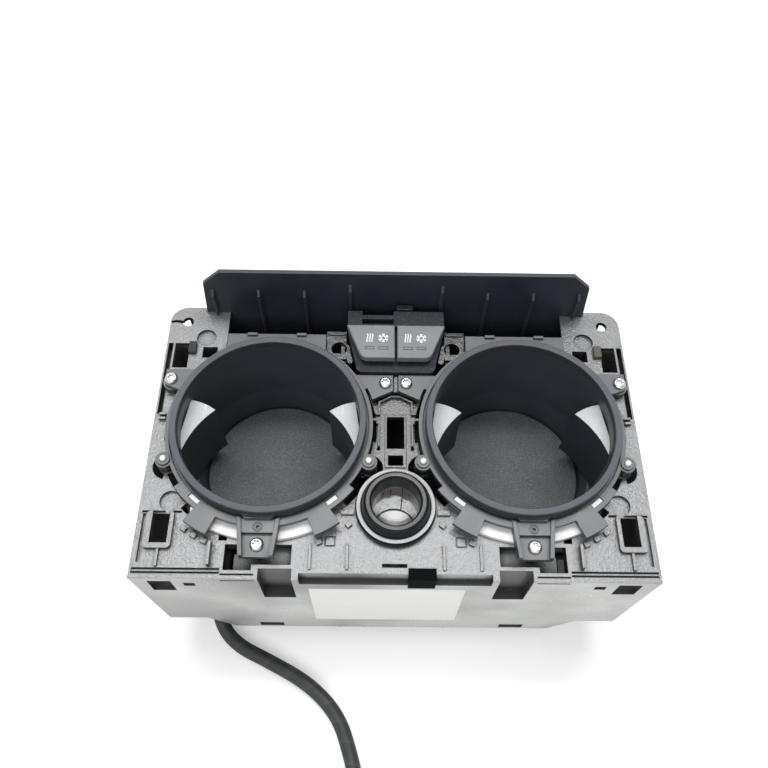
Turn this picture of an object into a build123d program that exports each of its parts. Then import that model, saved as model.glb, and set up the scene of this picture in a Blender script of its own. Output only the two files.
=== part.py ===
from build123d import *
import os
from math import acos, asin, atan2, cos, degrees, radians, sin, sqrt, tan

# Double heated and cooled cup holder of a car's centre console, in millimetres.
# The origin is on the table under the middle of the carrier, +Z is up, -Y is the front.

# Heights, stacked from the table up to the rims of the cups
FOOT_H = 2.0  # feet under the lower housing
TRAY_FLOOR_T = 2.5  # floor of the lower housing
FAN_H = 15.0  # square fan frame
FIN_H = 16.5  # fins of the heat sink
SINK_BASE_T = 4.0  # base plate of the heat sink
MODULE_T = 4.0  # heat pump plate
CUP_FLOOR_T = 2.5  # floor of the cup
PAD_T = 1.5  # pad on the cup floor
CUP_DEPTH = 60.0  # from the pad up to the rim
DECK_DROP = 13.0  # carrier deck below the rim
FLANGE_DROP = 6.0  # top of the cup flange below the rim
TONGUE_DROP = 8.0  # top of the screw tongues below the rim

# Cups
CUP_R = 42.0  # inside radius
CUP_GAP = 16.9  # inside of a cup to the middle plane
SIDE_GAP = 14.1  # inside of a cup to the outside of the carrier
DEPTH_GAP = 28.7  # inside of a cup to the front and rear of the carrier
CUP_WALL_T = 2.4
CUP_TAPER = 4.0  # narrowing of the lower part
CUP_TAPER_H = 15.5  # height of the narrowing lower part
RIM_W = 3.2  # width of the rim seen from above
RIM_H = 5.0
RIM_EDGE = 0.4
FLANGE_T = 2.5
FLANGE_W = 6.2  # plain ring under the rim, from the inside of the cup
GROOVE_W = 1.2  # dark groove between rim and flange
GROOVE_D = 1.6
EDGE = 0.6  # small edge bevels
RIB_T = 1.2  # small ribs
SMALL_RIB_H = 0.8

# Arms of the flange, angles from the X axis of the cup and widths from the inside of the cup
ARM_W = 9.0
TOOTH_W = 16.2
BRIDGE_W = 7.5
ARM_ANGLE = 38.0
TOOTH_ANGLE = 54.0
TOOTH_END_ANGLE = 66.0
REAR_PLATE_HALF = 24.3
REAR_PLATE_W = 8.5
TONGUE_SHIFT = 1.2  # tongue axis outwards from the cup axis
TONGUE_ROOT_W = 19.2
TONGUE_TIP_W = 15.0
TONGUE_STEP = 18.4  # from the front of the carrier
TONGUE_TIP = 8.2
TONGUE_SCREW = 13.6
TONGUE_RIB_W = 1.8
TONGUE_DOT_R = 0.8  # small blind hole in the tongue, inside a round mark
TONGUE_DOT_BACK = 2.6  # behind the tongue's step
ARM_SLOT_W = 2.4  # slots in the flange by the arms
ARM_SLOT_ANGLES = (-54.0, -47.0)
LUG_SCREW_OUT = 6.8  # outer lug screw from the inside of the cup
LUG_SPLIT = 1.3  # inner lugs to the middle plane
LUG_DROP = 5.2  # lug screws in front of the switch
MIDDLE_SCREW_X = 5.05  # inner lug screw from the middle plane
PIN_OUT = 4.5  # locating pins from the inside of the cup
PIN_Y = -18.4

# Grip flaps: hollow wedges that turn on a pin at their front end
FLAP_WALL_T = 1.6
FLAP_TOP_DROP = 11.5  # top of the flap below the rim
FLAP_H = 38.0
FLAP_REACH = 26.7  # from the hinge axis to the free end
FLAP_HEEL_ANGLE = -17.0
FLAP_OUT = 28.0  # degrees that the flap stands out of the wall at rest
FLAP_BACK = 1.0  # degrees of the wedge left behind the wall at rest
FLAP_CLOSE = 16.0  # degrees that the flap can be pushed back
PIVOT_OUT = 2.9  # hinge axis from the inside of the cup
PIVOT_ANGLE = -14.0
KNUCKLE_R = 2.2
FLAP_PIN_R = 1.0
HINGE_EAR_W = 6.0
HINGE_EAR_T = 3.0
HINGE_EAR_ANGLE = 4.5
WINDOW_HEEL_ANGLE = -21.0
WINDOW_GAP = 0.5  # round the flap
SPRING_R = 1.7

# Fits
RUN_FIT = 0.08  # radial, hinge pins and fan shafts
PRESS_GAP = 0.02  # radial, hinge pins in their ears
SCREW_FIT = 0.15  # radial, screws and pins in their holes
SEAT_GAP = 0.2  # between parts that seat in each other
SLIDE_GAP = 0.4  # around the buttons

# Carrier
DECK_T = 2.5
WALL_T = 2.5
DECK_HOLE_W = 3.6  # deck hole from the inside of the cup
NOTCH_W = 6.6  # deck cut for the hinge ears
FLAP_NOTCH_W = 8.0  # deck cut for the flaps when they are pushed back
SIDE_DRAFT = 3.0  # side walls lean in by this much at the skirt
SKIRT_Z = 25.0
APRON_Z = 8.0  # lower edge of the middle of the front wall
APRON_SIDE = 34.0  # apron from the side of the carrier
SKIRT_SIDE = 22.0
EAR_LAP = 12.0  # ear in front of the panel
EAR_RADIUS = 8.5
EAR_HOLE_R = 2.75
EAR_HOLE_SIDE = 9.0
EAR_HOLE_REAR = 8.8
DECK_REAR_W = 2.0  # deck behind the inside of the cup
BACK_WALL_TOP = 64.0
TOWER_R = 4.5
TOWER_REAR = (19.5, 18.4)  # rear towers from the side and the rear
TOWER_FRONT = (13.6, 35.2)  # front towers from the side and the front
TOWER_FOOT_Z = 24.0
CHANNEL_HALF = 42.0
CHANNEL_D = 2.9
CHANNEL_H = 7.0
GROOVE_DEPTH = 1.6  # grooves in the deck
WELL_HALF = 14.6  # pocket under a tongue
WELL_DEPTH = 5.0
WELL_T = 1.5
NOTCH_X = (-13.9, 0.6)  # front notch from the cup axis
NOTCH_D = 4.8
NOTCH_H = 29.0
RIDGE_H = 2.0
LABEL_X = (-38.5, 31.6)
LABEL_Z = (24.5, 81.0)
LABEL_T = 0.15
CLIP_X = (5.5, 17.6)
CLIP_T = 1.2
CLIP_LEG = 2.0  # clip's leg above the label

# Rear panel
PANEL_T = 2.0
PANEL_INSET = 0.5
PANEL_SIDE = 18.0  # edge of the panel from the side of the carrier
PANEL_RISE = 20.0  # above the cup rims
PANEL_CORNER = 9.0
PANEL_FOOT_Z = 26.0
PANEL_RIB_EDGE = 5.8  # outermost rib from the panel's edge
PANEL_SCREW_EDGE = 23.0
PANEL_SCREW_RISE = 10.0  # lower screws above the skirt
PANEL_SCREW_DROP = 9.0  # upper screws below the top of the back wall
PANEL_HEAD_H = 1.6

# Switch
BUTTON_REAR_GAP = 15.5  # buttons to the panel's face
BUTTON_LEN = 18.9
BUTTON_FRONT_X = 16.6
BUTTON_REAR_X = 24.2
BUTTON_SPLIT = 1.2
BUTTON_H = 9.0
BUTTON_CAP_H = 3.6
BUTTON_SKIRT = 2.2  # skirt inside the edge of the cap
BUTTON_WALL_T = 1.4
BUTTON_CORNER = 4.0
BUTTON_TRAVEL = 1.0
SWITCH_REAR_GAP = 6.0  # case to the panel's face
SWITCH_FRONT_HALF = 19.3
SWITCH_HALF = 23.8
SWITCH_LEDGE = 4.6  # ledge in front of the buttons
SWITCH_FLOOR_T = 2.0
SWITCH_CORNER = 3.0
LEDGE_DROP = 6.0  # ledge below the rim
CONTACT_STAND = 4.0

# 12 V socket
SOCKET_FRONT = 32.7  # socket axis from the front of the carrier
SOCKET_R = 10.6  # inside of the barrel
BARREL_T = 0.6
BARREL_DROP = 1.0  # top of the barrel below the deck
THROAT_GAP = 0.3  # collar's throat round the barrel's bore
COLLAR_R = 18.2
COLLAR_BASE_H = 4.5
COLLAR_NECK_R = 13.8
COLLAR_RISE = 10.0  # above the deck
SLEEVE_R = 13.5
SLEEVE_FOOT_Z = 62.0
STUD_H = 4.0
CONTACT_T = 4.0
BLADE_LEN = 9.0

# Lower housing and what it holds
TRAY_SIDE = 10.0  # from the side of the carrier
TRAY_NOSE_SIDE = 31.0
TRAY_FRONT = 7.7  # from the front of the carrier
TRAY_STEP = 27.7
TRAY_REAR = 11.7
TRAY_WALL_T = 2.2
TRAY_TOP_Z = 38.0
FAN_SIZE = 60.0
FAN_RIM = 2.0  # frame round the fan's duct
FAN_CORNER = 4.0
FAN_HUB_R = 10.0
FAN_BLADES = 7
FAN_SHAFT_R = 1.5
FIN_COUNT = 13
FIN_T = 1.2
MODULE_SIZE = 40.0
BOARD_T = 1.6
BOARD_STAND = 6.0
BOARD_Y = (-40.0, 30.0)
BOARD_FAN_GAP = 4.0  # board to the fans
BOARD_LEG_EDGE = 5.0  # legs from the board's ends
BOARD_ROWS = [(0.12, 0.28), (0.4, 0.63), (0.77, 0.91)]  # shares of the board's length
CHIP_H = 2.5
COIL_H = 9.0
VENT_PITCH = 6.0
VENT_HALF = 1.5
SCREW_R = 1.4
SCREW_HEAD_R = 3.0
SCREW_HEAD_H = 2.0
SCREW_LEN = 9.0
PILOT_SPARE = 2.0  # pilot holes deeper than their screws

# Cable
CABLE_R = 3.75
CABLE_SIDE = 23.2  # cable exit from the side of the carrier
CABLE_BOOT = 5.5  # cable exit in front of the housing's step wall
CABLE_Z = 10.8
CONNECTOR_Z = 5.5
CONNECTOR_X = (5.0, 30.0)  # body along the cable's end
CONNECTOR_HALF = 11.0
CONNECTOR_H = 13.0
CHAMBER_PITCH = 4.8

# Levels and places that follow from the sizes above
TRAY_FLOOR_Z = FOOT_H + TRAY_FLOOR_T
FAN_TOP_Z = TRAY_FLOOR_Z + FAN_H
SINK_Z = FAN_TOP_Z + FIN_H
MODULE_Z = SINK_Z + SINK_BASE_T
CUP_Z = MODULE_Z + MODULE_T
PAD_Z = CUP_Z + CUP_FLOOR_T
RIM_Z = PAD_Z + PAD_T + CUP_DEPTH
DECK_Z = RIM_Z - DECK_DROP
DECK_LOW_Z = DECK_Z - DECK_T
FLANGE_Z = RIM_Z - FLANGE_DROP
FLANGE_LOW_Z = FLANGE_Z - FLANGE_T
TONGUE_Z = RIM_Z - TONGUE_DROP
TONGUE_LOW_Z = TONGUE_Z - FLANGE_T
FLAP_TOP_Z = RIM_Z - FLAP_TOP_DROP
FLAP_LOW_Z = FLAP_TOP_Z - FLAP_H
WINDOW_TOP_Z = FLAP_TOP_Z + WINDOW_GAP
WINDOW_LOW_Z = FLAP_LOW_Z - WINDOW_GAP
CUP_X = CUP_R + CUP_GAP
HALF_WIDTH = CUP_X + CUP_R + SIDE_GAP
HALF_DEPTH = CUP_R + DEPTH_GAP
FRONT_Y = -HALF_DEPTH
CUP_OUT_R = CUP_R + CUP_WALL_T
CUP_FLOOR_R = CUP_R - CUP_TAPER
RIM_R = CUP_R + RIM_W
FLANGE_R = CUP_R + FLANGE_W
ARM_R = CUP_R + ARM_W
TOOTH_R = CUP_R + TOOTH_W
BRIDGE_R = CUP_R + BRIDGE_W
PIVOT_R = CUP_R + PIVOT_OUT
HINGE_EAR_R = CUP_R + HINGE_EAR_W
DECK_HOLE_R = CUP_R + DECK_HOLE_W
NOTCH_R = CUP_R + NOTCH_W
FLAP_NOTCH_R = CUP_R + FLAP_NOTCH_W
DECK_REAR_Y = CUP_R + DECK_REAR_W
PANEL_BACK_Y = HALF_DEPTH - PANEL_INSET
PANEL_FACE_Y = PANEL_BACK_Y - PANEL_T
PANEL_TOP_Z = RIM_Z + PANEL_RISE
PANEL_HALF = HALF_WIDTH - PANEL_SIDE
PANEL_RIB_PITCH = (PANEL_HALF - PANEL_RIB_EDGE) / 4
PANEL_SCREW_X = PANEL_HALF - PANEL_SCREW_EDGE
PANEL_SCREW_Z = (SKIRT_Z + PANEL_SCREW_RISE, BACK_WALL_TOP - PANEL_SCREW_DROP)
EAR_INNER_X = PANEL_HALF - EAR_LAP
EAR_HOLE_X = HALF_WIDTH - EAR_HOLE_SIDE
EAR_HOLE_Y = HALF_DEPTH - EAR_HOLE_REAR
APRON_HALF = HALF_WIDTH - APRON_SIDE
SKIRT_INNER_X = HALF_WIDTH - SKIRT_SIDE
BUTTON_REAR_Y = PANEL_FACE_Y - BUTTON_REAR_GAP
BUTTON_FRONT_Y = BUTTON_REAR_Y - BUTTON_LEN
SWITCH_FRONT_Y = BUTTON_FRONT_Y - SWITCH_LEDGE
SWITCH_NECK_Y = BUTTON_FRONT_Y - EDGE
SWITCH_REAR_Y = PANEL_FACE_Y - SWITCH_REAR_GAP
SWITCH_FLOOR_Z = BACK_WALL_TOP + DECK_T
TONGUE_X = CUP_X + TONGUE_SHIFT
TONGUE_STEP_Y = FRONT_Y + TONGUE_STEP
TONGUE_TIP_Y = FRONT_Y + TONGUE_TIP
TONGUE_SCREW_Y = FRONT_Y + TONGUE_SCREW
LUG_SCREW_DX = CUP_R + LUG_SCREW_OUT
LUG_SCREW_Y = SWITCH_FRONT_Y - LUG_DROP
PIN_DX = CUP_R + PIN_OUT
SOCKET_Y = FRONT_Y + SOCKET_FRONT
TRAY_HALF = HALF_WIDTH - TRAY_SIDE
TRAY_NOSE_HALF = HALF_WIDTH - TRAY_NOSE_SIDE
TRAY_FRONT_Y = FRONT_Y + TRAY_FRONT
TRAY_STEP_Y = FRONT_Y + TRAY_STEP
TRAY_REAR_Y = HALF_DEPTH - TRAY_REAR
FAN_BORE_R = FAN_SIZE / 2 - FAN_RIM
PIVOT = (PIVOT_R * cos(radians(PIVOT_ANGLE)), PIVOT_R * sin(radians(PIVOT_ANGLE)))
TOWERS = [
    (HALF_WIDTH - TOWER_REAR[0], HALF_DEPTH - TOWER_REAR[1]),
    (HALF_WIDTH - TOWER_FRONT[0], FRONT_Y + TOWER_FRONT[1]),
]
# Six cup screws: place and height of the face under the head
CUP_SCREWS = [
    (CUP_X + LUG_SCREW_DX, LUG_SCREW_Y, FLANGE_Z),
    (MIDDLE_SCREW_X, LUG_SCREW_Y, TONGUE_Z),
    (TONGUE_X, TONGUE_SCREW_Y, TONGUE_Z),
]
PINS = [(CUP_X + PIN_DX, PIN_Y), (CUP_X - PIN_DX, PIN_Y)]
# The cable's route: steps from its exit, with the height of its middle
CABLE_EXIT = (CABLE_SIDE - HALF_WIDTH, TRAY_STEP_Y - CABLE_BOOT)
CABLE_STEPS = [
    (0.0, 0.0, CABLE_Z),
    (0.0, -10.5, CABLE_Z),
    (3.2, -22.8, 5.8),
    (12.3, -31.8, CABLE_R),
    (27.3, -38.6, CABLE_R),
    (49.8, -50.0, CABLE_R),
    (65.3, -65.0, CABLE_R),
    (72.0, -83.0, CABLE_R),
    (77.3, -103.5, CABLE_R),
    (91.8, -123.5, CABLE_R),
    (115.8, -135.5, CABLE_R),
    (141.8, -137.5, CONNECTOR_Z),
    (163.8, -132.5, CONNECTOR_Z),
]
CABLE_ROUTE = [(CABLE_EXIT[0] + dx, CABLE_EXIT[1] + dy, z) for dx, dy, z in CABLE_STEPS]
UP = (0, 0, 1)
BACK = (0, 1, 0)


def block(x, y, z):
    """A box between the low and high ends given along each axis."""
    spans = (x, y, z)
    middle = [(low + high) / 2 for low, high in spans]
    return Pos(*middle) * Box(*[high - low for low, high in spans])


def post(x, y, radius, z):
    """An upright cylinder between two heights."""
    return Pos(x, y, (z[0] + z[1]) / 2) * Cylinder(radius, z[1] - z[0])


def slab(points, z):
    """A plate with the given outline in plan, between two heights."""
    face = make_face(Polyline(*points, close=True))
    return Pos(0, 0, z[0]) * extrude(face, z[1] - z[0], dir=UP)


def wall(points, y):
    """A plate with the given outline seen from the front, between two depths."""
    face = make_face(Polyline(*[(x, y[0], z) for x, z in points], close=True))
    return extrude(face, y[1] - y[0], dir=BACK)


def sector(radii, angles, z):
    """Part of a ring about the Z axis, between two angles and two heights."""
    inner = CenterArc((0, 0), radii[0], angles[0], angles[1] - angles[0])
    outer = CenterArc((0, 0), radii[1], angles[0], angles[1] - angles[0])
    ends = [Line(inner @ 0, outer @ 0), Line(inner @ 1, outer @ 1)]
    return Pos(0, 0, z[0]) * extrude(make_face([inner, outer] + ends), z[1] - z[0], dir=UP)


def ring(radii, z):
    """A whole ring about the Z axis."""
    return post(0, 0, radii[1], z) - post(0, 0, radii[0], z)


def turned(points):
    """A solid of revolution about the Z axis from a section in radius and height."""
    face = make_face(Polyline(*[(r, 0, z) for r, z in points], close=True))
    return revolve(face, Axis.Z)


def other_side(shape):
    """The same shape on the other side of the middle plane."""
    return mirror(shape, about=Plane.YZ)


def both(shape):
    """The shape and its mirror image."""
    return [shape, other_side(shape)]


def both_of(shapes):
    """All the shapes and their mirror images."""
    return [copy for shape in shapes for copy in both(shape)]


def at_cup(shape):
    """Moves a shape made about the Z axis to the right cup."""
    return Pos(CUP_X, 0, 0) * shape


def both_ends(shape):
    """A shape on the outer side of a cup and its image on the inner side."""
    return [at_cup(shape), at_cup(other_side(shape))]


def right_cup():
    """One moulding: bowl, rim, flange ring, arms, tongue, lugs and rear plate."""
    taper_z = CUP_Z + CUP_TAPER_H
    under_rim = RIM_Z - RIM_H
    bowl = turned(
        [
            (0, CUP_Z),
            (CUP_FLOOR_R + CUP_WALL_T, CUP_Z),
            (CUP_OUT_R, taper_z),
            (CUP_OUT_R, under_rim),
            (RIM_R, under_rim),
            (RIM_R, RIM_Z - RIM_EDGE),
            (RIM_R - RIM_EDGE, RIM_Z),
            (CUP_R + RIM_EDGE, RIM_Z),
            (CUP_R, RIM_Z - RIM_EDGE),
            (CUP_R, taper_z + CUP_FLOOR_T),
            (CUP_FLOOR_R, PAD_Z),
            (0, PAD_Z),
        ]
    )
    level = (FLANGE_LOW_Z, FLANGE_Z)
    inside = CUP_R + CUP_WALL_T / 2
    arm = sector((inside, ARM_R), (-TOOTH_ANGLE, -ARM_ANGLE), level)
    tooth = sector((inside, TOOTH_R), (-TOOTH_END_ANGLE, -TOOTH_ANGLE), level)
    bridge = sector((inside, BRIDGE_R), (-90, -TOOTH_END_ANGLE), level)
    pin_lug = post(PIN_DX, PIN_Y, TOWER_R - 0.6, level)
    pin_lug = pin_lug + post(PIN_DX, PIN_Y, TOWER_R - 1.6, (level[0], level[1] + 1.0))
    ears = hinge_ears(inside)
    shapes = [ring((inside, FLANGE_R), level), rear_plate(level)]
    cup = bowl + shapes + both_of([arm, tooth, bridge, pin_lug] + ears)
    cup = cup + outer_lug(level) + inner_lug(inside) + tongue()
    snap = block((-CUP_R - 7.9, -CUP_R - 5), (3.4, 4.6), (FLANGE_LOW_Z, FLANGE_Z - 1))
    cup = cup + [snap]
    groove = ring((RIM_R, RIM_R + GROOVE_W), (FLANGE_Z - GROOVE_D, under_rim))
    slot = arm_slot(0, (FLANGE_LOW_Z - 1, FLANGE_Z + 1))
    window = sector(
        (CUP_R - 2, CUP_OUT_R + 1), (WINDOW_HEEL_ANGLE, window_end_angle()), (WINDOW_LOW_Z, WINDOW_TOP_Z)
    )
    hole = SCREW_R + SCREW_FIT
    inner_reach = MIDDLE_SCREW_X - CUP_X
    holes = [
        post(LUG_SCREW_DX, LUG_SCREW_Y, hole, (FLANGE_LOW_Z - 1, FLANGE_Z + 1)),
        post(inner_reach, LUG_SCREW_Y, hole, (TONGUE_LOW_Z - 1, TONGUE_Z + 1)),
        post(TONGUE_SHIFT, TONGUE_SCREW_Y, hole, (TONGUE_LOW_Z - 1, TONGUE_Z + 1)),
    ]
    pin_hole = post(PIN_DX, PIN_Y, hole, (FLANGE_LOW_Z - 1, FLANGE_Z + 2))
    hinge_hole = post(*PIVOT, FLAP_PIN_R + PRESS_GAP, (WINDOW_LOW_Z - HINGE_EAR_T - 1, FLANGE_LOW_Z))
    cup = cup - holes - tongue_dot() - [groove] - both_of([slot, window, pin_hole, hinge_hole])
    return at_cup(cup + [rim_ledge()])


def rim_ledge():
    """The small ledge across the rim's groove where the tongue starts."""
    half = TONGUE_ROOT_W / 2 - TONGUE_RIB_W
    inner = RIM_EDGE * 3 - RIM_R
    outer = -RIM_R - GROOVE_W
    corners = [(-half, inner), (half, inner), (half - 2, outer), (2 - half, outer)]
    points = [(TONGUE_SHIFT + x, y) for x, y in corners]
    return slab(points, (FLANGE_Z - GROOVE_D, FLANGE_Z + GROOVE_D))


def hinge_ears(inside):
    """The ears above and below a flap's window that hold its hinge pin."""
    span = (PIVOT_ANGLE - HINGE_EAR_ANGLE, PIVOT_ANGLE + HINGE_EAR_ANGLE)
    radii = (inside, HINGE_EAR_R)
    upper = sector(radii, span, (WINDOW_TOP_Z, FLANGE_Z))
    lower = sector(radii, span, (WINDOW_LOW_Z - HINGE_EAR_T, WINDOW_LOW_Z))
    return [upper, lower]


def rear_plate(level):
    """The flat plate of the flange behind the cup, with two small bumps on its edge."""
    rear = CUP_R + REAR_PLATE_W
    plate = block((-REAR_PLATE_HALF, REAR_PLATE_HALF), (CUP_R, rear), level)
    plate = plate + block((-REAR_PLATE_HALF, REAR_PLATE_HALF), (CUP_R - 9, CUP_R), level)
    plate = plate - post(0, 0, CUP_R + CUP_WALL_T / 2, (level[0] - 1, level[1] + 1))
    half = REAR_PLATE_HALF / 2
    high = (level[0], level[1] + 1.2)
    bumps = [block((x - 2.4, x + 2.4), (rear - 1.4, rear), high) for x in (-half, half)]
    return plate + bumps


def outer_lug(level):
    """The screw lug on the outer side of the cup."""
    x, y = LUG_SCREW_DX, LUG_SCREW_Y
    outer = [(x + 3.1, y + 5.5), (x + 3.1, y - 2.8), (x - 3.5, y - 5.5)]
    root = [(x - 6.5, y - 5.5), (x - 10.5, y + 5.5)]
    return [slab(outer + root, level)]


def inner_lug(inside):
    """The screw lug towards the middle plane, clear of the inner flap."""
    y = LUG_SCREW_Y
    edge = LUG_SPLIT - CUP_X
    root = 4.0 - CUP_R
    level = (TONGUE_LOW_Z, TONGUE_Z)
    points = [(edge, y - 4.0), (edge, y + 4.6), (root, y + 4.6), (root, y + 1), (root - 5, y - 11.1)]
    plate = slab(points, level)
    end = 180 - window_end_angle() - 3
    plate = plate - sector((CUP_R, FLAP_NOTCH_R), (end, 180), (TONGUE_LOW_Z - 1, TONGUE_Z + 1))
    step = sector((inside, FLANGE_R), (147, end), (TONGUE_LOW_Z, FLANGE_Z))
    return [plate, step]


def tongue():
    """The screw tongue in front of the cup, with its raised side ribs."""
    root = TONGUE_ROOT_W / 2
    tip = TONGUE_TIP_W / 2
    start = -CUP_OUT_R
    share = (TONGUE_STEP_Y - start) / (TONGUE_TIP_Y - start)
    step = root + (tip - root) * share
    rib_w = TONGUE_RIB_W

    def outline(y0, half0, y1, half1):
        corners = [(-half0, y0), (half0, y0), (half1, y1), (-half1, y1)]
        return [(TONGUE_SHIFT + x, y) for x, y in corners]

    upper = slab(outline(start, root, TONGUE_STEP_Y, step), (TONGUE_LOW_Z + 1, FLANGE_Z))
    lower = slab(outline(TONGUE_STEP_Y, step, TONGUE_TIP_Y, tip), (TONGUE_LOW_Z, TONGUE_Z))
    overlap = block(
        (TONGUE_SHIFT - step, TONGUE_SHIFT + step),
        (TONGUE_STEP_Y - 0.6, TONGUE_STEP_Y + 0.6),
        (TONGUE_LOW_Z, TONGUE_Z),
    )
    ribs = []
    for side in (-1, 1):
        points = [
            (side * root, start),
            (side * (root - rib_w), start),
            (side * (tip - rib_w), TONGUE_TIP_Y),
            (side * tip, TONGUE_TIP_Y),
        ]
        ribs.append(slab([(TONGUE_SHIFT + x, y) for x, y in points], (TONGUE_LOW_Z, FLANGE_Z + 0.8)))
    return [upper, lower, overlap] + ribs


def tongue_dot():
    """The small blind hole in the tongue and the round mark about it."""
    y = TONGUE_STEP_Y + TONGUE_DOT_BACK
    dot = post(TONGUE_SHIFT, y, TONGUE_DOT_R, (FLANGE_Z - 1.2, FLANGE_Z + 1))
    mark = ring((TONGUE_DOT_R + 0.7, TONGUE_DOT_R + 1.3), (FLANGE_Z - 0.3, FLANGE_Z + 1))
    return [dot, Pos(TONGUE_SHIFT, y, 0) * mark]


def arm_slot(gap, z):
    """A slot in the flange by an arm, or with a gap all round what stands in it."""
    turn = degrees(gap / FLANGE_R)
    radii = (FLANGE_R + gap - ARM_SLOT_W / 1.5, FLANGE_R - gap + ARM_SLOT_W / 3)
    return sector(radii, (ARM_SLOT_ANGLES[0] + turn, ARM_SLOT_ANGLES[1] - turn), z)


def polar(radius, angle):
    """A point in plan from its radius and angle."""
    return radius * cos(radians(angle)), radius * sin(radians(angle))


def angle_at_reach(radius, reach):
    """Angle about the cup axis of the point at that radius and reach from the hinge."""
    cosine = (PIVOT_R**2 + radius**2 - reach**2) / (2 * PIVOT_R * radius)
    return PIVOT_ANGLE + degrees(acos(cosine))


def window_end_angle():
    """Where a flap's window ends, clear of the flap's free end as it swings."""
    reach = FLAP_REACH + WINDOW_GAP
    return max(angle_at_reach(CUP_R, reach), angle_at_reach(CUP_OUT_R, reach))


def flap_plan(wall, sweep):
    """Plan of a flap pushed flush with the cup wall, drawn in by a wall thickness."""
    radius = CUP_R + wall
    reach = FLAP_REACH - wall
    end_angle = angle_at_reach(radius, reach)
    inner = CenterArc((0, 0), radius, FLAP_HEEL_ANGLE, end_angle - FLAP_HEEL_ANGLE)
    end_x, end_y = polar(radius, end_angle)
    heading = degrees(atan2(end_y - PIVOT[1], end_x - PIVOT[0]))
    free_end = CenterArc(PIVOT, reach, heading - sweep, sweep)
    back = Line(free_end @ 0, PIVOT)
    heel = Line(PIVOT, inner @ 0)
    return make_face([inner, free_end, back, heel])


def flush_flap():
    """A hollow grip flap flush with the wall, at the outer side of a cup on the Z axis."""
    span = (FLAP_LOW_Z, FLAP_TOP_Z)
    sweep = FLAP_OUT + FLAP_BACK
    wedge = Pos(0, 0, FLAP_LOW_Z) * extrude(flap_plan(0, sweep), FLAP_H, dir=UP)
    hollow_h = FLAP_H - 2 * FLAP_WALL_T
    inner = extrude(flap_plan(FLAP_WALL_T, sweep + 9), hollow_h, dir=UP)
    hollow = Pos(0, 0, FLAP_LOW_Z + FLAP_WALL_T) * inner
    knuckle = post(*PIVOT, KNUCKLE_R, span)
    bore = post(*PIVOT, FLAP_PIN_R + RUN_FIT, (FLAP_LOW_Z - 1, FLAP_TOP_Z + 1))
    coil_room = post(*PIVOT, KNUCKLE_R + 2 * SEAT_GAP, spring_span(SEAT_GAP))
    return wedge - hollow + knuckle - [bore, coil_room]


def spring_span(gap):
    """Heights between which the spring sits in the middle of the flap, with a gap."""
    middle = (FLAP_LOW_Z + FLAP_TOP_Z) / 2
    return middle - FLAP_H / 6 - gap, middle + FLAP_H / 6 + gap


def resting_flap():
    """The flap as its spring holds it, swung out of the wall."""
    swing = Pos(*PIVOT, 0) * Rot(0, 0, FLAP_OUT) * Pos(-PIVOT[0], -PIVOT[1], 0)
    return swing * flush_flap()


def flap_pin():
    """The hinge pin of a flap, pressed into the ears above and below its window."""
    return post(*PIVOT, FLAP_PIN_R, (WINDOW_LOW_Z - HINGE_EAR_T, FLANGE_LOW_Z))


def flap_spring():
    """The coil of a flap's spring, round the pin in the middle of the flap."""
    bore = FLAP_PIN_R + RUN_FIT
    return post(*PIVOT, SPRING_R, spring_span(0)) - post(*PIVOT, bore, spring_span(0))


def floor_pad():
    """The pad on the floor of a cup, with a bevelled edge."""
    edge = CUP_FLOOR_R - SEAT_GAP
    top = PAD_Z + PAD_T
    return at_cup(turned([(0, PAD_Z), (edge, PAD_Z), (edge, top - EDGE), (edge - EDGE, top), (0, top)]))


def carrier_walls():
    """The skirt of the carrier: front, sides and back, with round corners under the ears."""
    lean = SIDE_DRAFT
    outline = [
        (-HALF_WIDTH, DECK_Z),
        (HALF_WIDTH, DECK_Z),
        (HALF_WIDTH - lean, SKIRT_Z),
        (SKIRT_INNER_X, SKIRT_Z),
        (APRON_HALF, APRON_Z),
        (-APRON_HALF, APRON_Z),
        (-SKIRT_INNER_X, SKIRT_Z),
        (lean - HALF_WIDTH, SKIRT_Z),
    ]
    front = wall(outline, (FRONT_Y, FRONT_Y + WALL_T))
    back_y = (PANEL_FACE_Y - WALL_T, PANEL_FACE_Y)
    back = wall(
        [
            (-HALF_WIDTH + lean, SKIRT_Z),
            (HALF_WIDTH - lean, SKIRT_Z),
            (HALF_WIDTH - lean / 2, BACK_WALL_TOP),
            (lean / 2 - HALF_WIDTH, BACK_WALL_TOP),
        ],
        back_y,
    )
    side = wall(
        [
            (HALF_WIDTH, DECK_Z),
            (HALF_WIDTH - WALL_T, DECK_Z),
            (HALF_WIDTH - WALL_T - lean, SKIRT_Z),
            (HALF_WIDTH - lean, SKIRT_Z),
        ],
        (FRONT_Y, PANEL_FACE_Y),
    )
    rib = block((PANEL_HALF + 1, HALF_WIDTH - EAR_RADIUS), back_y, (BACK_WALL_TOP - 5, DECK_Z))
    cut = corner_cut((BACK_WALL_TOP, RIM_Z))
    return [front, back] + both_of([side - cut, rib])


def corner_cut(z):
    """What is cut off the square corner of an ear to make it round."""
    x, y = HALF_WIDTH - EAR_RADIUS, HALF_DEPTH - EAR_RADIUS
    square = block((x, HALF_WIDTH + 1), (y, HALF_DEPTH + 1), z)
    return square - post(x, y, EAR_RADIUS, (z[0] - 1, z[1] + 1))


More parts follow.
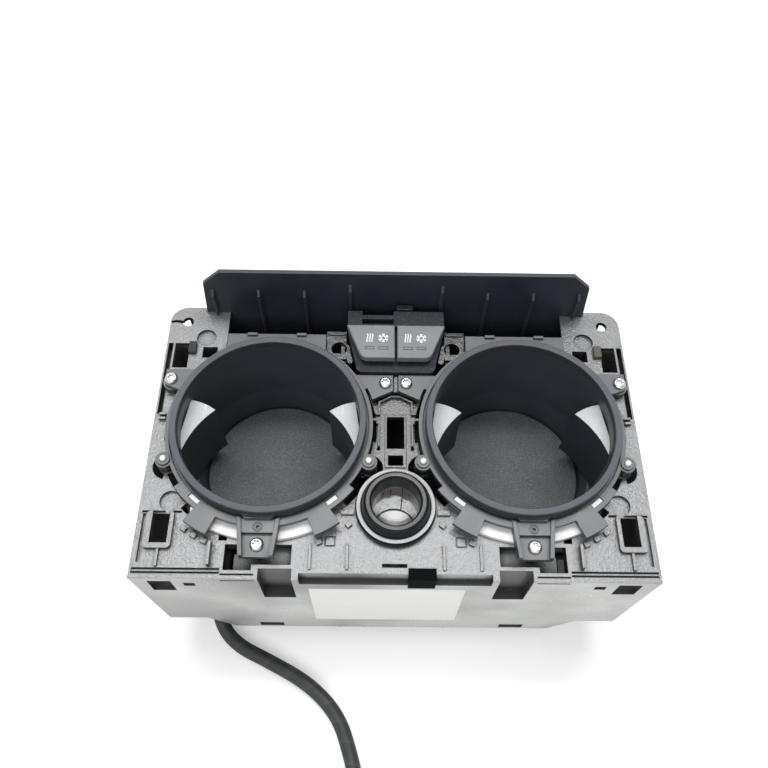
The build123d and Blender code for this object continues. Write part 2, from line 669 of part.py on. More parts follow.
def deck():
    """The carrier's top plate with its two rear fixing ears."""
    points = [
        (-HALF_WIDTH, FRONT_Y),
        (HALF_WIDTH, FRONT_Y),
        (HALF_WIDTH, HALF_DEPTH),
        (PANEL_HALF + 0.6, HALF_DEPTH),
        (PANEL_HALF + 0.6, PANEL_FACE_Y),
        (EAR_INNER_X, PANEL_FACE_Y),
        (EAR_INNER_X, DECK_REAR_Y),
        (-EAR_INNER_X, DECK_REAR_Y),
        (-EAR_INNER_X, PANEL_FACE_Y),
        (-PANEL_HALF - 0.6, PANEL_FACE_Y),
        (-PANEL_HALF - 0.6, HALF_DEPTH),
        (-HALF_WIDTH, HALF_DEPTH),
    ]
    face = make_face(Polyline(*points, close=True))
    rear = face.vertices().group_by(Axis.Y)[-1].sort_by(Axis.X)
    face = fillet([rear[0], rear[-1]], EAR_RADIUS)
    return Pos(0, 0, DECK_LOW_Z) * extrude(face, DECK_T, dir=UP)


def tongue_well():
    """The sunk pocket under a cup's tongue: outer block, hollow, deep slot and tower."""
    rear = TONGUE_SCREW_Y + 1.8
    front = TONGUE_SCREW_Y - 7.1
    deep_front = FRONT_Y + WALL_T + WELL_T
    floor = DECK_Z - WELL_DEPTH
    x = (TONGUE_X - WELL_HALF, TONGUE_X + WELL_HALF)
    step_x = CUP_X + NOTCH_X[1] + 2 * WELL_T
    shell = block((x[0] - WELL_T, x[1] + WELL_T), (front - WELL_T, rear + WELL_T), (floor - WELL_T, DECK_Z))
    shell = shell + block((step_x - WELL_T, x[1] + WELL_T), (FRONT_Y, front), (floor - WELL_T, DECK_Z))
    above = (floor, DECK_Z + 1)
    hollow = block(x, (front, rear), above) + block((step_x, x[1]), (deep_front, front + 1), above)
    deep = (floor - WELL_T - 1, DECK_Z + 1)
    slot = block((x[1] - 3.6, x[1]), (deep_front, rear), deep)
    slot = slot + block((x[1] - 5.8, x[1]), (rear - 3.0, rear), deep)
    tower = post(TONGUE_X, TONGUE_SCREW_Y, TOWER_R - 0.5, (floor - WELL_T, TONGUE_LOW_Z))
    return shell, hollow + slot, tower


def front_notch():
    """The open notch at the top of the front wall beside each tongue, as block and hollow."""
    x = (CUP_X + NOTCH_X[0], CUP_X + NOTCH_X[1])
    t = WELL_T
    low = DECK_Z - NOTCH_H
    shell = block((x[0] - t, x[1] + t), (FRONT_Y, FRONT_Y + NOTCH_D + t), (low - t, DECK_Z))
    hollow = block(x, (FRONT_Y - 1, FRONT_Y + NOTCH_D), (low, DECK_Z + 1))
    return shell, hollow


def deck_reliefs():
    """Raised ribs, rims, teeth and bosses on one half of the deck."""
    top = DECK_Z
    low_rib = (top, top + SMALL_RIB_H)
    edge = HALF_WIDTH
    front = FRONT_Y
    rim = block((edge - 16.7, edge - 4.4), (front + 12.9, front + 29.9), (top, top + 2.0))
    rim = fillet(rim.edges().filter_by(Axis.Z), RIDGE_H)
    rim = rim - block((edge - 14.9, edge - 7.2), (front + 15.3, front + 31), (top - 1, top + 2))
    link = block((edge - 11.9, edge - 11.9 + RIB_T), (front + 5.2, front + 13.2), (top, top + 1.4))
    fin_x = CUP_X + CUP_R / 2 + 0.4
    fin = block((fin_x, fin_x + RIB_T), (front + 5.3, front + 15.7), (top, top + 4))
    ribs = [block((x - 0.6, x + 0.6), (front + 4.5, front + 15.7), low_rib) for x in (21.2, 37.4)]
    bar_x = COLLAR_R + 0.4
    bar = block((bar_x, bar_x + 5.8), (SOCKET_Y - 3.4, SOCKET_Y - 1.0), (top, top + 1.2))
    seat = post(CUP_X + LUG_SCREW_DX, LUG_SCREW_Y, TOWER_R, (DECK_LOW_Z, FLANGE_LOW_Z))
    pin_seats = [post(x, y, TOWER_R - 0.9, (DECK_LOW_Z, FLANGE_LOW_Z)) for x, y in PINS]
    middle = post(MIDDLE_SCREW_X, LUG_SCREW_Y, TOWER_R - 0.8, (DECK_LOW_Z, TONGUE_LOW_Z))
    radii = (TOOTH_R + 0.4, TOOTH_R + 2.6)
    teeth = [at_cup(sector(radii, (a - 1.2, a + 1.2), (top, top + 1.4))) for a in (-54.5, -59.8, -65.0)]
    teeth += [at_cup(sector(radii, (a - 1.2, a + 1.2), (top, top + 1.4))) for a in (-129.5, -115.0)]
    hooks = [block((edge - 5.6, edge - 2.6), (y, y + 1.1), (top, top + 2)) for y in (5.0, 7.4)]
    return [rim, link, fin, bar, seat, middle] + ribs + pin_seats + teeth + hooks


def island_ridges():
    """The thin ridge, its hooks and the window frame on the right half of the middle island."""
    z = (DECK_Z, DECK_Z + RIDGE_H)
    t = 0.9
    peak = LUG_SCREW_Y - 5.0
    foot = peak - 10.4
    upper = [(0, peak), (2.3, peak), (7.4, peak - 2.9)]
    lower = [(7.4, peak - 3.9), (2.1, peak - t), (0, peak - t)]
    roof = slab(upper + lower, z)
    leg = block((7.4, 7.4 + t), (foot, peak - 3.1), z)
    lower_leg = block((7.4, 7.4 + t), (foot - 16.8, foot - 4.0), z)
    hooks = [block((7.4, 10.2), (y, y + t), z) for y in (foot, foot - 4.9)]
    frame = block((0, 5.0), (foot - 26.8, foot + 0.4), (DECK_Z, DECK_Z + 0.6))
    rib = block((0, LUG_SPLIT - SLIDE_GAP), (LUG_SCREW_Y - 4.2, LUG_SCREW_Y + 4.4), (DECK_Z, TONGUE_Z - 1))
    return [roof, leg, lower_leg, frame, rib] + hooks


def deck_cuts():
    """Openings and grooves in one half of the deck and front wall."""
    top = DECK_Z
    edge = HALF_WIDTH
    front = FRONT_Y
    through = (DECK_LOW_Z - 1, top + 3)
    groove = (top - GROOVE_DEPTH, top + 1)
    hole = post(CUP_X, 0, DECK_HOLE_R, (DECK_LOW_Z - 1, FLANGE_LOW_Z + 1))
    rear_window = block((edge - 11.7, edge - 4.3), (CUP_R - 7.4, CUP_R + 7.0), through)
    front_window = block((edge - 14.9, edge - 7.2), (front + 15.3, front + 29.8), through)
    ear_gap = block((EAR_INNER_X + 4.2, EAR_INNER_X + 11.5), (CUP_R - 1.5, CUP_R + 4.8), through)
    line_x = (CUP_X + 17.2, edge - 1.0)
    lines = [block(line_x, (y - 0.45, y + 0.45), groove) for y in (front + 4.3, front + 2.7)]
    lines.append(block((CUP_X + 2.3, CUP_X + 16.8), (front + 1.7, front + 2.4), groove))
    lines.append(block((edge - 4.0, edge - 2.4), (front + 7.2, front + 29.2), groove))
    lines.append(block((edge - 19.4, edge - 1.8), (front + 29.6, front + 30.6), groove))
    lines.append(block((edge - 3.3, edge - 0.9), (8.6, CUP_R + 7.0), (top - 6, top + 1)))
    lines.append(block((CUP_X + 2.3, CUP_X + 16.8), (front - 1, front + 0.7), (top - 3.0, top - 1.8)))
    well = (front - 1, front + WALL_T + 1)
    clip_window = block((edge - 17.5, edge - 7.2), well, (top - 18.5, top - 4))
    nick = block((edge - 27.4, edge - 22.4), (front - 1, front + 1.2), (top - 11.0, top - 6.5))
    hook_window = block((CUP_X - 3.2, CUP_X + 9.0), well, (APRON_Z + 2.0, APRON_Z + 8.5))
    small = block((CUP_X + 15.3, CUP_X + 19.0), (front + 17.1, front + 19.9), through)
    dot = post(8.0, PIN_Y + 9.8, 0.8, through)
    mark_y = front + 14.8
    mark = block((26.5, 31.3), (mark_y, mark_y + 4.8), (top - 0.8, top + 1))
    mark = mark - block((27.1, 30.7), (mark_y + 0.6, mark_y + 4.2), (top - 1, top + 2))
    screw = SCREW_R + SCREW_FIT
    pilot = SCREW_LEN + PILOT_SPARE
    holes = [post(x, y, screw, (seat - pilot, seat)) for x, y, seat in CUP_SCREWS]
    holes += [post(x, y, screw, (TOWER_FOOT_Z - 1, TOWER_FOOT_Z + pilot + 1)) for x, y in TOWERS]
    holes += [post(x, y, screw, (DECK_LOW_Z - 1, FLANGE_LOW_Z + 1)) for x, y in PINS]
    sinks = [post(x, y, TOWER_R + 0.4, (top - GROOVE_DEPTH, top + 3)) for x, y in TOWERS]
    cuts = [hole, rear_window, front_window, ear_gap, clip_window, nick, hook_window, small, dot, mark]
    return cuts + lines + holes + sinks + flange_gaps() + [island_gap()]


def island_gap():
    """The open gap in the deck between an inner lug and the ridge in front of it."""
    y = LUG_SCREW_Y
    front = [(LUG_SPLIT, y - 5.0), (2.5, y - 5.0), (7.6, y - 7.9), (9.4, y - 8.4), (9.4, y - 5.0)]
    rear = [(6.0, y - 2.0), (LUG_SPLIT, y - 1.0)]
    gap = slab(front + rear, (DECK_LOW_Z - 1, DECK_Z + 1))
    return gap - post(MIDDLE_SCREW_X, y, TOWER_R - 0.4, (DECK_LOW_Z - 2, DECK_Z + 2))


def flange_gaps():
    """Gaps in the deck round the flange: flap notches, pin recesses and open arcs."""
    level = (DECK_LOW_Z - 1, FLANGE_LOW_Z + 1)
    end = window_end_angle()
    notch = sector((CUP_R, NOTCH_R), (WINDOW_HEEL_ANGLE, end + 2), level)
    notch = notch + sector((CUP_R, FLAP_NOTCH_R), (FLAP_CLOSE / 2 + PIVOT_ANGLE, end + 1), level)
    recess = Pos(PIN_DX, PIN_Y, 0) * sector((TOWER_R - 0.7, TOWER_R + 2.1), (-80, 80), level)
    arc = sector((DECK_HOLE_R - 0.5, CUP_R + 9.0), (-45, -26), level)
    tip = sector((DECK_HOLE_R - 0.5, CUP_R + 12.0), (-53, -46), level)
    inner_arc = other_side(sector((DECK_HOLE_R - 0.5, CUP_R + 10.2), (-45, -26), level))
    return both_ends(notch) + both_ends(recess) + [at_cup(arc), at_cup(tip), at_cup(inner_arc)]


def carrier_frame():
    """The moulded carrier: deck, skirt, towers, wells, notches and front channel."""
    well, well_hollow, tongue_tower = tongue_well()
    notch, notch_hollow = front_notch()
    towers = [post(x, y, TOWER_R, (TOWER_FOOT_Z, DECK_Z)) for x, y in TOWERS]
    channel_x = (-CHANNEL_HALF, CHANNEL_HALF)
    channel_back = block(
        (channel_x[0] - WELL_T, channel_x[1] + WELL_T),
        (FRONT_Y, FRONT_Y + CHANNEL_D + 2),
        (DECK_Z - CHANNEL_H - 2, DECK_Z),
    )
    halves = both_of([well, notch] + towers + deck_reliefs() + island_ridges() + switch_shelf())
    solid = deck() + carrier_walls() + halves + [channel_back]
    bay_x = (-SWITCH_HALF - 1, SWITCH_HALF + 1)
    bay = block(bay_x, (SWITCH_FRONT_Y - 0.8, PANEL_FACE_Y - WALL_T), (SWITCH_FLOOR_Z, RIM_Z))
    socket = post(0, SOCKET_Y, SLEEVE_R + SEAT_GAP, (DECK_LOW_Z - 1, DECK_Z + 3))
    channel = block(channel_x, (FRONT_Y - 1, FRONT_Y + CHANNEL_D), (DECK_Z - CHANNEL_H, DECK_Z + 1))
    label_room = block(LABEL_X, (FRONT_Y - 1, FRONT_Y + LABEL_T), LABEL_Z)
    clip_leg = block(CLIP_X, (FRONT_Y - 1, FRONT_Y + CLIP_T), (LABEL_Z[1] + CLIP_LEG, DECK_Z))
    deep = (DECK_LOW_Z - 1, DECK_Z + 2)
    foot = LUG_SCREW_Y - 15.4
    slots = [
        block((-4.1, 4.1), (foot - 17.2, foot - 0.6), deep),
        block((-3.5, 3.5), (foot - 25.8, foot - 20.7), deep),
        block((-5.9, 5.0), (FRONT_Y + 5.7, FRONT_Y + 7.3), deep),
    ]
    cuts = [bay, socket, channel, label_room, clip_leg] + slots
    solid = solid - cuts - both_of([well_hollow, notch_hollow] + deck_cuts())
    pilot = post(TONGUE_X, TONGUE_SCREW_Y, SCREW_R + SCREW_FIT, (DECK_LOW_Z - 9, TONGUE_Z))
    tongue_tower = tongue_tower - pilot
    solid = solid + both_of([rear_eye(), tongue_tower])
    ear_level = (DECK_LOW_Z - 1, DECK_Z + 1)
    ear_holes = both(post(EAR_HOLE_X, EAR_HOLE_Y, EAR_HOLE_R, ear_level))
    panel_holes = panel_screw_shapes(SCREW_R + SCREW_FIT, PANEL_FACE_Y - WALL_T - 1, PANEL_FACE_Y + 1)
    return solid - ear_holes - [ear_break()] - panel_holes


def switch_shelf():
    """The shelf under the right half of the switch, with the webs that carry it."""
    level = (BACK_WALL_TOP, SWITCH_FLOOR_Z)
    rear = PANEL_FACE_Y - WALL_T / 2
    narrow = block((0, SWITCH_FRONT_HALF + 1.7), (SWITCH_FRONT_Y - 5, rear), level)
    wide = block((0, SWITCH_HALF + 2), (SWITCH_NECK_Y + 1, rear), level)
    web = block((0, 8), (SWITCH_FRONT_Y - 5, SWITCH_FRONT_Y - 2.5), (BACK_WALL_TOP, DECK_Z))
    web_x = (SWITCH_HALF + 1.5, SWITCH_HALF + 3.5)
    high_web = block(web_x, (SWITCH_NECK_Y + 3.3, DECK_REAR_Y + 10), (BACK_WALL_TOP - 5, DECK_Z))
    low_web = block(web_x, (SWITCH_NECK_Y + 3.3, rear), (BACK_WALL_TOP - 5, BACK_WALL_TOP + 8))
    return [narrow, wide, web, high_web, low_web]


def rear_eye():
    """The small plate with a round eye and a finger, between the switch and the right cup."""
    x = SWITCH_HALF + 4.4
    y = DECK_REAR_Y + 1.4
    level = (DECK_LOW_Z, DECK_Z + 2)
    plate = block((SWITCH_HALF + 0.8, SWITCH_HALF + 10.8), (y - 6, DECK_REAR_Y + 11.7), level)
    bar_x = (SWITCH_HALF + 1.4, SWITCH_HALF + 10.0)
    bar = block(bar_x, (DECK_REAR_Y + 9.2, DECK_REAR_Y + 10.6), (level[0], level[1] + 1))
    tube = post(x, y, 5.0, (DECK_LOW_Z - 8, level[1]))
    finger = slab([(x - 5.0, y + 2.1), (x - 2.2, y + 2.1), (x - 4.2, y - 7.0), (x - 7.0, y - 7.0)], level)
    tip = post(x - 5.6, y - 7.0, 1.4, level)
    hole = post(CUP_X, 0, DECK_HOLE_R, (DECK_LOW_Z - 9, RIM_Z))
    return plate + [bar, tube, finger, tip] - hole - post(x, y, 3.9, (DECK_LOW_Z - 9, RIM_Z))


def ear_break():
    """The piece broken out of the left rear ear, from its hole to the edge."""
    x, y = -EAR_HOLE_X, EAR_HOLE_Y
    edge = -HALF_WIDTH - 1
    upper = [(x - 1.4, y + 0.4), (x - 3.8, y + 0.9), (x - 6.2, y + 1.2), (x - 8.2, y + 0.6), (edge, y - 0.6)]
    lower = [(edge, y - 2.0), (x - 7.6, y - 0.6), (x - 5.2, y - 0.4), (x - 3.2, y - 1.0), (x - 0.6, y - 2.4)]
    points = upper + lower
    return slab(points, (DECK_LOW_Z - 1, DECK_Z + 1))


def panel_screw_shapes(radius, y0, y1):
    """Four cylinders along Y at the places of the rear panel's screws."""
    shapes = []
    for x in (-PANEL_SCREW_X, PANEL_SCREW_X):
        for z in PANEL_SCREW_Z:
            turn = Pos(x, (y0 + y1) / 2, z) * Rot(90, 0, 0)
            shapes.append(turn * Cylinder(radius, y1 - y0))
    return shapes


def rear_panel():
    """The upright panel behind the cups, with eight small ribs on its face."""
    side_z = PANEL_TOP_Z - PANEL_CORNER
    half = PANEL_HALF
    top = half - PANEL_CORNER - 2
    points = [
        (-EAR_INNER_X, PANEL_FOOT_Z),
        (EAR_INNER_X, PANEL_FOOT_Z),
        (EAR_INNER_X + EAR_LAP / 3, BACK_WALL_TOP),
        (half, DECK_Z),
        (half - 2, side_z),
        (top, PANEL_TOP_Z),
        (-top, PANEL_TOP_Z),
        (2 - half, side_z),
        (-half, DECK_Z),
        (-EAR_INNER_X - EAR_LAP / 3, BACK_WALL_TOP),
    ]
    panel = wall(points, (PANEL_FACE_Y, PANEL_BACK_Y))
    ribs = []
    face_y = PANEL_FACE_Y
    for step in (1, 2, 3, 4):
        x = step * PANEL_RIB_PITCH
        tip = RIM_Z + (11.5 if step == 1 else 6.5)
        foot = DECK_Z + SEAT_GAP if x > EAR_INNER_X - 2 else BACK_WALL_TOP + 8
        profile = [(face_y, foot), (face_y - 2.2, foot), (face_y - 2.2, tip - 3), (face_y, tip)]
        face = make_face(Polyline(*[(x - RIB_T / 2, y, z) for y, z in profile], close=True))
        ribs += both(extrude(face, RIB_T, dir=(1, 0, 0)))
    holes = panel_screw_shapes(SCREW_R + SCREW_FIT, PANEL_FACE_Y - 1, PANEL_BACK_Y + 1)
    return panel + ribs - holes - panel_heads(SCREW_FIT)


def panel_heads(gap):
    """The sunk heads of the rear panel's screws, flush with its back."""
    heads = []
    for x in (-PANEL_SCREW_X, PANEL_SCREW_X):
        for z in PANEL_SCREW_Z:
            cone = Cone(SCREW_R + gap, SCREW_HEAD_R + gap, PANEL_HEAD_H)
            heads.append(Pos(x, PANEL_BACK_Y - PANEL_HEAD_H / 2, z) * Rot(-90, 0, 0) * cone)
    return heads


def panel_screws():
    """Four countersunk screws that hold the rear panel."""
    shanks = panel_screw_shapes(SCREW_R, PANEL_FACE_Y - WALL_T - SCREW_LEN / 2, PANEL_BACK_Y - PANEL_T / 4)
    return [shank + head for shank, head in zip(shanks, panel_heads(0), strict=True)]


def button_outline(gap):
    """The right button's outline in plan, grown by a gap all round."""
    slope = (BUTTON_REAR_X - BUTTON_FRONT_X) / (BUTTON_REAR_Y - BUTTON_FRONT_Y)
    side = gap * sqrt(1 + slope * slope)
    front = BUTTON_FRONT_Y - gap
    rear = BUTTON_REAR_Y + gap
    inner = BUTTON_SPLIT / 2 - gap
    face = make_face(
        Polyline(
            (inner, front),
            (BUTTON_FRONT_X + side - slope * gap, front),
            (BUTTON_REAR_X + side + slope * gap, rear),
            (inner, rear),
            close=True,
        )
    )
    corner = face.vertices().group_by(Axis.Y)[0].sort_by(Axis.X)[-1]
    return fillet([corner], BUTTON_CORNER + gap)


def right_button():
    """A hollow push button: a cap over a narrower skirt, with its stem."""
    low = RIM_Z - BUTTON_H
    cap = Pos(0, 0, RIM_Z - BUTTON_CAP_H) * extrude(button_outline(0), BUTTON_CAP_H, dir=UP)
    rim = cap.edges().group_by(Axis.Z)[-1]
    cap = fillet(rim, EDGE)
    skirt = Pos(0, 0, low) * extrude(button_outline(-BUTTON_SKIRT), BUTTON_H - BUTTON_WALL_T, dir=UP)
    inside = button_outline(-BUTTON_SKIRT - BUTTON_WALL_T)
    hollow = Pos(0, 0, low) * extrude(inside, BUTTON_H - BUTTON_WALL_T, dir=UP)
    stem = post(*button_middle(), 2.5, (low, RIM_Z - 1))
    return cap + skirt - hollow + stem


def button_middle():
    """Middle of the right button in plan."""
    return (BUTTON_FRONT_X + BUTTON_REAR_X) / 4, (BUTTON_FRONT_Y + BUTTON_REAR_Y) / 2


def switch_housing():
    """The case round the buttons: front ledge, slanting sides, rear bar with slot and tab."""
    top = RIM_Z - 2.0
    outline = [
        (-SWITCH_FRONT_HALF, SWITCH_FRONT_Y),
        (SWITCH_FRONT_HALF, SWITCH_FRONT_Y),
        (SWITCH_FRONT_HALF, SWITCH_NECK_Y),
        (SWITCH_HALF, BUTTON_REAR_Y),
        (SWITCH_HALF, SWITCH_REAR_Y),
        (-SWITCH_HALF, SWITCH_REAR_Y),
        (-SWITCH_HALF, BUTTON_REAR_Y),
        (-SWITCH_FRONT_HALF, SWITCH_NECK_Y),
    ]
    face = make_face(Polyline(*outline, close=True))
    face = fillet(face.vertices().group_by(Axis.Y)[0], SWITCH_CORNER)
    ledge_z = RIM_Z - LEDGE_DROP
    body = Pos(0, 0, SWITCH_FLOOR_Z) * extrude(face, ledge_z - SWITCH_FLOOR_Z, dir=UP)
    bar_front = BUTTON_REAR_Y + SLIDE_GAP
    bar = block((-SWITCH_HALF, SWITCH_HALF), (bar_front, SWITCH_REAR_Y), (ledge_z - 1, top))
    tab_x = (0.4, 8.5)
    tab = block(tab_x, (SWITCH_REAR_Y + 1.2, SWITCH_REAR_Y + 4.0), (top - 9, top))
    tab_foot = block(tab_x, (SWITCH_REAR_Y - 1, SWITCH_REAR_Y + 1.5), (top - 9, top - 6))
    case = body + [bar, tab, tab_foot]
    well_floor = SWITCH_FLOOR_Z + SWITCH_FLOOR_T
    well = Pos(0, 0, well_floor) * extrude(button_outline(SLIDE_GAP - BUTTON_SKIRT), RIM_Z, dir=UP)
    over_caps = Pos(0, 0, ledge_z) * extrude(button_outline(SLIDE_GAP), RIM_Z, dir=UP)
    inner_x = BUTTON_FRONT_X - BUTTON_SKIRT
    link_y = (BUTTON_FRONT_Y + BUTTON_SKIRT, BUTTON_REAR_Y - BUTTON_SKIRT)
    link = block((-inner_x, inner_x), link_y, (well_floor, RIM_Z - BUTTON_H - 8))
    slot_x = (7 - SWITCH_HALF, -1.0)
    slot = block(slot_x, (BUTTON_REAR_Y + 1.9, BUTTON_REAR_Y + 4.9), (top - 9, top + 1))
    rear_step = block(slot_x, (BUTTON_REAR_Y + 7.2, SWITCH_REAR_Y + 1), (top - 9, top + 1))
    return case - both_of([well, over_caps]) - [link, slot, rear_step]


def switch_board():
    """The board under the buttons with its two push contacts."""
    low = SWITCH_FLOOR_Z + SWITCH_FLOOR_T
    x, y = button_middle()
    half = BUTTON_FRONT_X - BUTTON_SKIRT - SEAT_GAP
    top = low + CONTACT_STAND + BOARD_T
    inset = BUTTON_SKIRT + SEAT_GAP
    board_y = (BUTTON_FRONT_Y + inset, BUTTON_REAR_Y - inset)
    board = block((-half, half), board_y, (low + CONTACT_STAND, top))
    contact_top = RIM_Z - BUTTON_H - BUTTON_TRAVEL - SLIDE_GAP
    legs = [block((px - 1.5, px + 1.5), (y - 1.5, y + 1.5), (low, low + CONTACT_STAND)) for px in (-x, x)]
    bodies = [block((px - 3, px + 3), (y - 3, y + 3), (top, contact_top - 1)) for px in (-x, x)]
    plungers = [post(px, y, 1.7, (contact_top - 1, contact_top)) for px in (-x, x)]
    return board + legs + bodies + plungers


def socket_collar():
    """The raised collar of the socket, its throat and the sleeve round the barrel."""
    base = DECK_Z + COLLAR_BASE_H
    top = DECK_Z + COLLAR_RISE
    sleeve = SOCKET_R + BARREL_T + SEAT_GAP
    throat = SOCKET_R + THROAT_GAP
    shoulder = DECK_Z - BARREL_DROP + SEAT_GAP
    section = [
        (sleeve, SLEEVE_FOOT_Z),
        (SLEEVE_R, SLEEVE_FOOT_Z),
        (SLEEVE_R, DECK_Z),
        (COLLAR_R, DECK_Z),
        (COLLAR_R, base - 1.6),
        (COLLAR_R - 0.6, base - 0.4),
        (COLLAR_R - 1.6, base),
        (COLLAR_R - 2.6, base - 0.6),
        (COLLAR_NECK_R + 0.6, top - 1.4),
        (COLLAR_NECK_R - 0.4, top - 0.4),
        (COLLAR_NECK_R - 1.2, top),
        (throat + 0.9, top - 0.4),
        (throat, top - 1.6),
        (throat, shoulder),
        (sleeve, shoulder),
    ]
    return Pos(0, SOCKET_Y, 0) * turned(section)


def socket_barrel():
    """The rolled steel barrel with its open seam and two spring tongues."""
    height = (SLEEVE_FOOT_Z + 1 + STUD_H + SEAT_GAP, DECK_Z - BARREL_DROP)
    tube = ring((SOCKET_R, SOCKET_R + BARREL_T), height)
    seam = block((3.0, 3.6), (0, SOCKET_R + 2), (height[0] - 1, height[1] + 1))
    slit_z = (height[1] - 8, height[1] - 2)
    slits = [block((x, x + 0.6), (0, SOCKET_R + 2), slit_z) for x in (-6.0, -2.4, 6.2)]
    return Pos(0, SOCKET_Y, 0) * (tube - [seam] - slits)


def socket_contact():
    """The socket's insulating end with centre contact and two blades."""
    outer = SOCKET_R + BARREL_T
    top = SLEEVE_FOOT_Z + 1
    low = top - CONTACT_T
    base = turned([(0, low), (outer, low), (outer, top), (0, top)])
    stud = post(0, 0, 3.2, (top, top + STUD_H))
    blades = [block((x - 3.1, x + 3.1), (-0.4, 0.4), (low - BLADE_LEN, low)) for x in (-5, 5)]
    return Pos(0, SOCKET_Y, 0) * (base + [stud] + blades)


def pan_screw(x, y, seat, length):
    """A pan head screw with its head above the seat."""
    head = post(x, y, SCREW_HEAD_R, (seat, seat + SCREW_HEAD_H))
    head = chamfer(head.edges().group_by(Axis.Z)[-1], SCREW_HEAD_H * 0.3)
    recess = post(x, y, 1.3, (seat + SCREW_HEAD_H - 1.0, seat + SCREW_HEAD_H + 1))
    return head - recess + post(x, y, SCREW_R, (seat - length, seat))


def housing_screw(x, y):
    """A screw that comes up through a pillar of the lower housing into a tower."""
    seat = TOWER_FOOT_Z - 4
    head = post(x, y, SCREW_HEAD_R, (seat - SCREW_HEAD_H, seat))
    recess = post(x, y, 1.3, (seat - SCREW_HEAD_H - 1, seat - SCREW_HEAD_H + 1))
    return head - recess + post(x, y, SCREW_R, (seat, TOWER_FOOT_Z + SCREW_LEN))


def locating_pin(x, y):
    """A round-topped locating pin in the deck and the cup's lug."""
    top = FLANGE_Z + 2.6
    section = [(0, DECK_LOW_Z), (SCREW_R, DECK_LOW_Z), (SCREW_R, top - 0.6), (SCREW_R - 0.5, top), (0, top)]
    return Pos(x, y, 0) * turned(section)


def front_clip():
    """The black clip that sits over the front channel."""
    floor = DECK_Z - CHANNEL_H
    y = FRONT_Y + CHANNEL_D
    lip = block(CLIP_X, (y, y + 2.4), (DECK_Z, DECK_Z + CLIP_T))
    body = block(CLIP_X, (FRONT_Y, y), (floor, DECK_Z + CLIP_T))
    leg = block(CLIP_X, (FRONT_Y, FRONT_Y + CLIP_T), (LABEL_Z[1] + CLIP_LEG, floor))
    clip = lip + [body, leg]
    edges = clip.edges().filter_by(Axis.X).group_by(Axis.Z)[-1]
    return fillet(edges, 0.5)


def felt_pad():
    """A small anti-rattle pad on the deck beside the rear window."""
    x = (HALF_WIDTH - 15.4, HALF_WIDTH - 11.8)
    return block(x, (CUP_R + 0.4, CUP_R + 6.6), (DECK_Z, DECK_Z + 2.4))


def insulation():
    """The white strip on the deck under the arms of a cup's flange."""
    level = (DECK_Z, TONGUE_LOW_Z - SEAT_GAP)
    inner = DECK_HOLE_R + SEAT_GAP
    strip = sector((inner, BRIDGE_R), (-134, -46), level)
    strip = strip + sector((inner, TOOTH_R - 4), (-115.5, -64.5), level)
    under_slots = (DECK_Z, FLANGE_LOW_Z - SEAT_GAP)
    pads = [sector((inner, BRIDGE_R), span, under_slots) for span in ((-56, -44), (-136, -124))]
    tabs = both(arm_slot(SEAT_GAP, (under_slots[1] - 1, FLANGE_Z - 0.5)))
    room = post(TONGUE_SHIFT, TONGUE_SCREW_Y, TOWER_R, (level[0] - 1, level[1] + 1))
    return at_cup(strip + pads + tabs - room)


def thermo_module():
    """The heat pump plate between cup floor and heat sink: two plates and a core."""
    half = MODULE_SIZE / 2
    plates = [
        block((-half, half), (-half, half), (MODULE_Z, MODULE_Z + 0.8)),
        block((-half, half), (-half, half), (CUP_Z - 0.8, CUP_Z)),
    ]
    core = block((1 - half, half - 1), (1 - half, half - 1), (MODULE_Z, CUP_Z))
    return at_cup(core + plates)


def heat_sink():
    """A finned heat sink with its base plate on top."""
    half = FAN_SIZE / 2
    plate = block((-half, half), (-half, half), (SINK_Z, MODULE_Z))
    pitch = (FAN_SIZE - FIN_T) / (FIN_COUNT - 1)
    fins = []
    for index in range(FIN_COUNT):
        x = -half + index * pitch
        fins.append(block((x, x + FIN_T), (-half, half), (FAN_TOP_Z, SINK_Z)))
    return at_cup(plate + fins)


def fan_frame():
    """A square fan frame with its round duct, motor seat, struts and shaft."""
    half = FAN_SIZE / 2
    low = TRAY_FLOOR_Z
    body = block((-half, half), (-half, half), (low, FAN_TOP_Z))
    corners = [edge for edge in body.edges().filter_by(Axis.Z)]
    body = fillet(corners, FAN_CORNER) - post(0, 0, FAN_BORE_R, (low - 1, FAN_TOP_Z + 1))
    seat = post(0, 0, FAN_HUB_R, (low, low + 2.5))
    strut = block((0, FAN_BORE_R + 1), (-1.2, 1.2), (low, low + 2))
    struts = [Rot(0, 0, angle) * strut for angle in (45, 135, 225, 315)]
    shaft = post(0, 0, FAN_SHAFT_R, (low, FAN_TOP_Z - 2.0))
    return at_cup(body + [seat, shaft] + struts)


def fan_wheel():
    """The fan wheel: a cup-shaped hub with tilted blades."""
    low = TRAY_FLOOR_Z + 2.5 + 0.3
    top = FAN_TOP_Z - 1.2
    hub = post(0, 0, FAN_HUB_R, (low, top))
    blade_len = FAN_BORE_R - 1.2 - FAN_HUB_R + 1.0
    middle = FAN_HUB_R - 1.0 + blade_len / 2
    height = (top - low) * 0.95
    tilt = 38.0
    chord = (height - 1.3) / cos(radians(tilt))
    blades = []
    for index in range(FAN_BLADES):
        blade = Pos(middle, 0, (low + top) / 2) * Rot(tilt, 0, 0) * Box(blade_len, 1.2, chord)
        blades.append(Rot(0, 0, index * 360 / FAN_BLADES) * blade)
    inside = ring((0.001 + FAN_BORE_R - 1.2, FAN_SIZE), (low - FAN_H, top + FAN_H))
    bore = post(0, 0, FAN_SHAFT_R + RUN_FIT, (low - 1, FAN_TOP_Z - 1.9))
    return at_cup(hub + blades - [inside, bore])


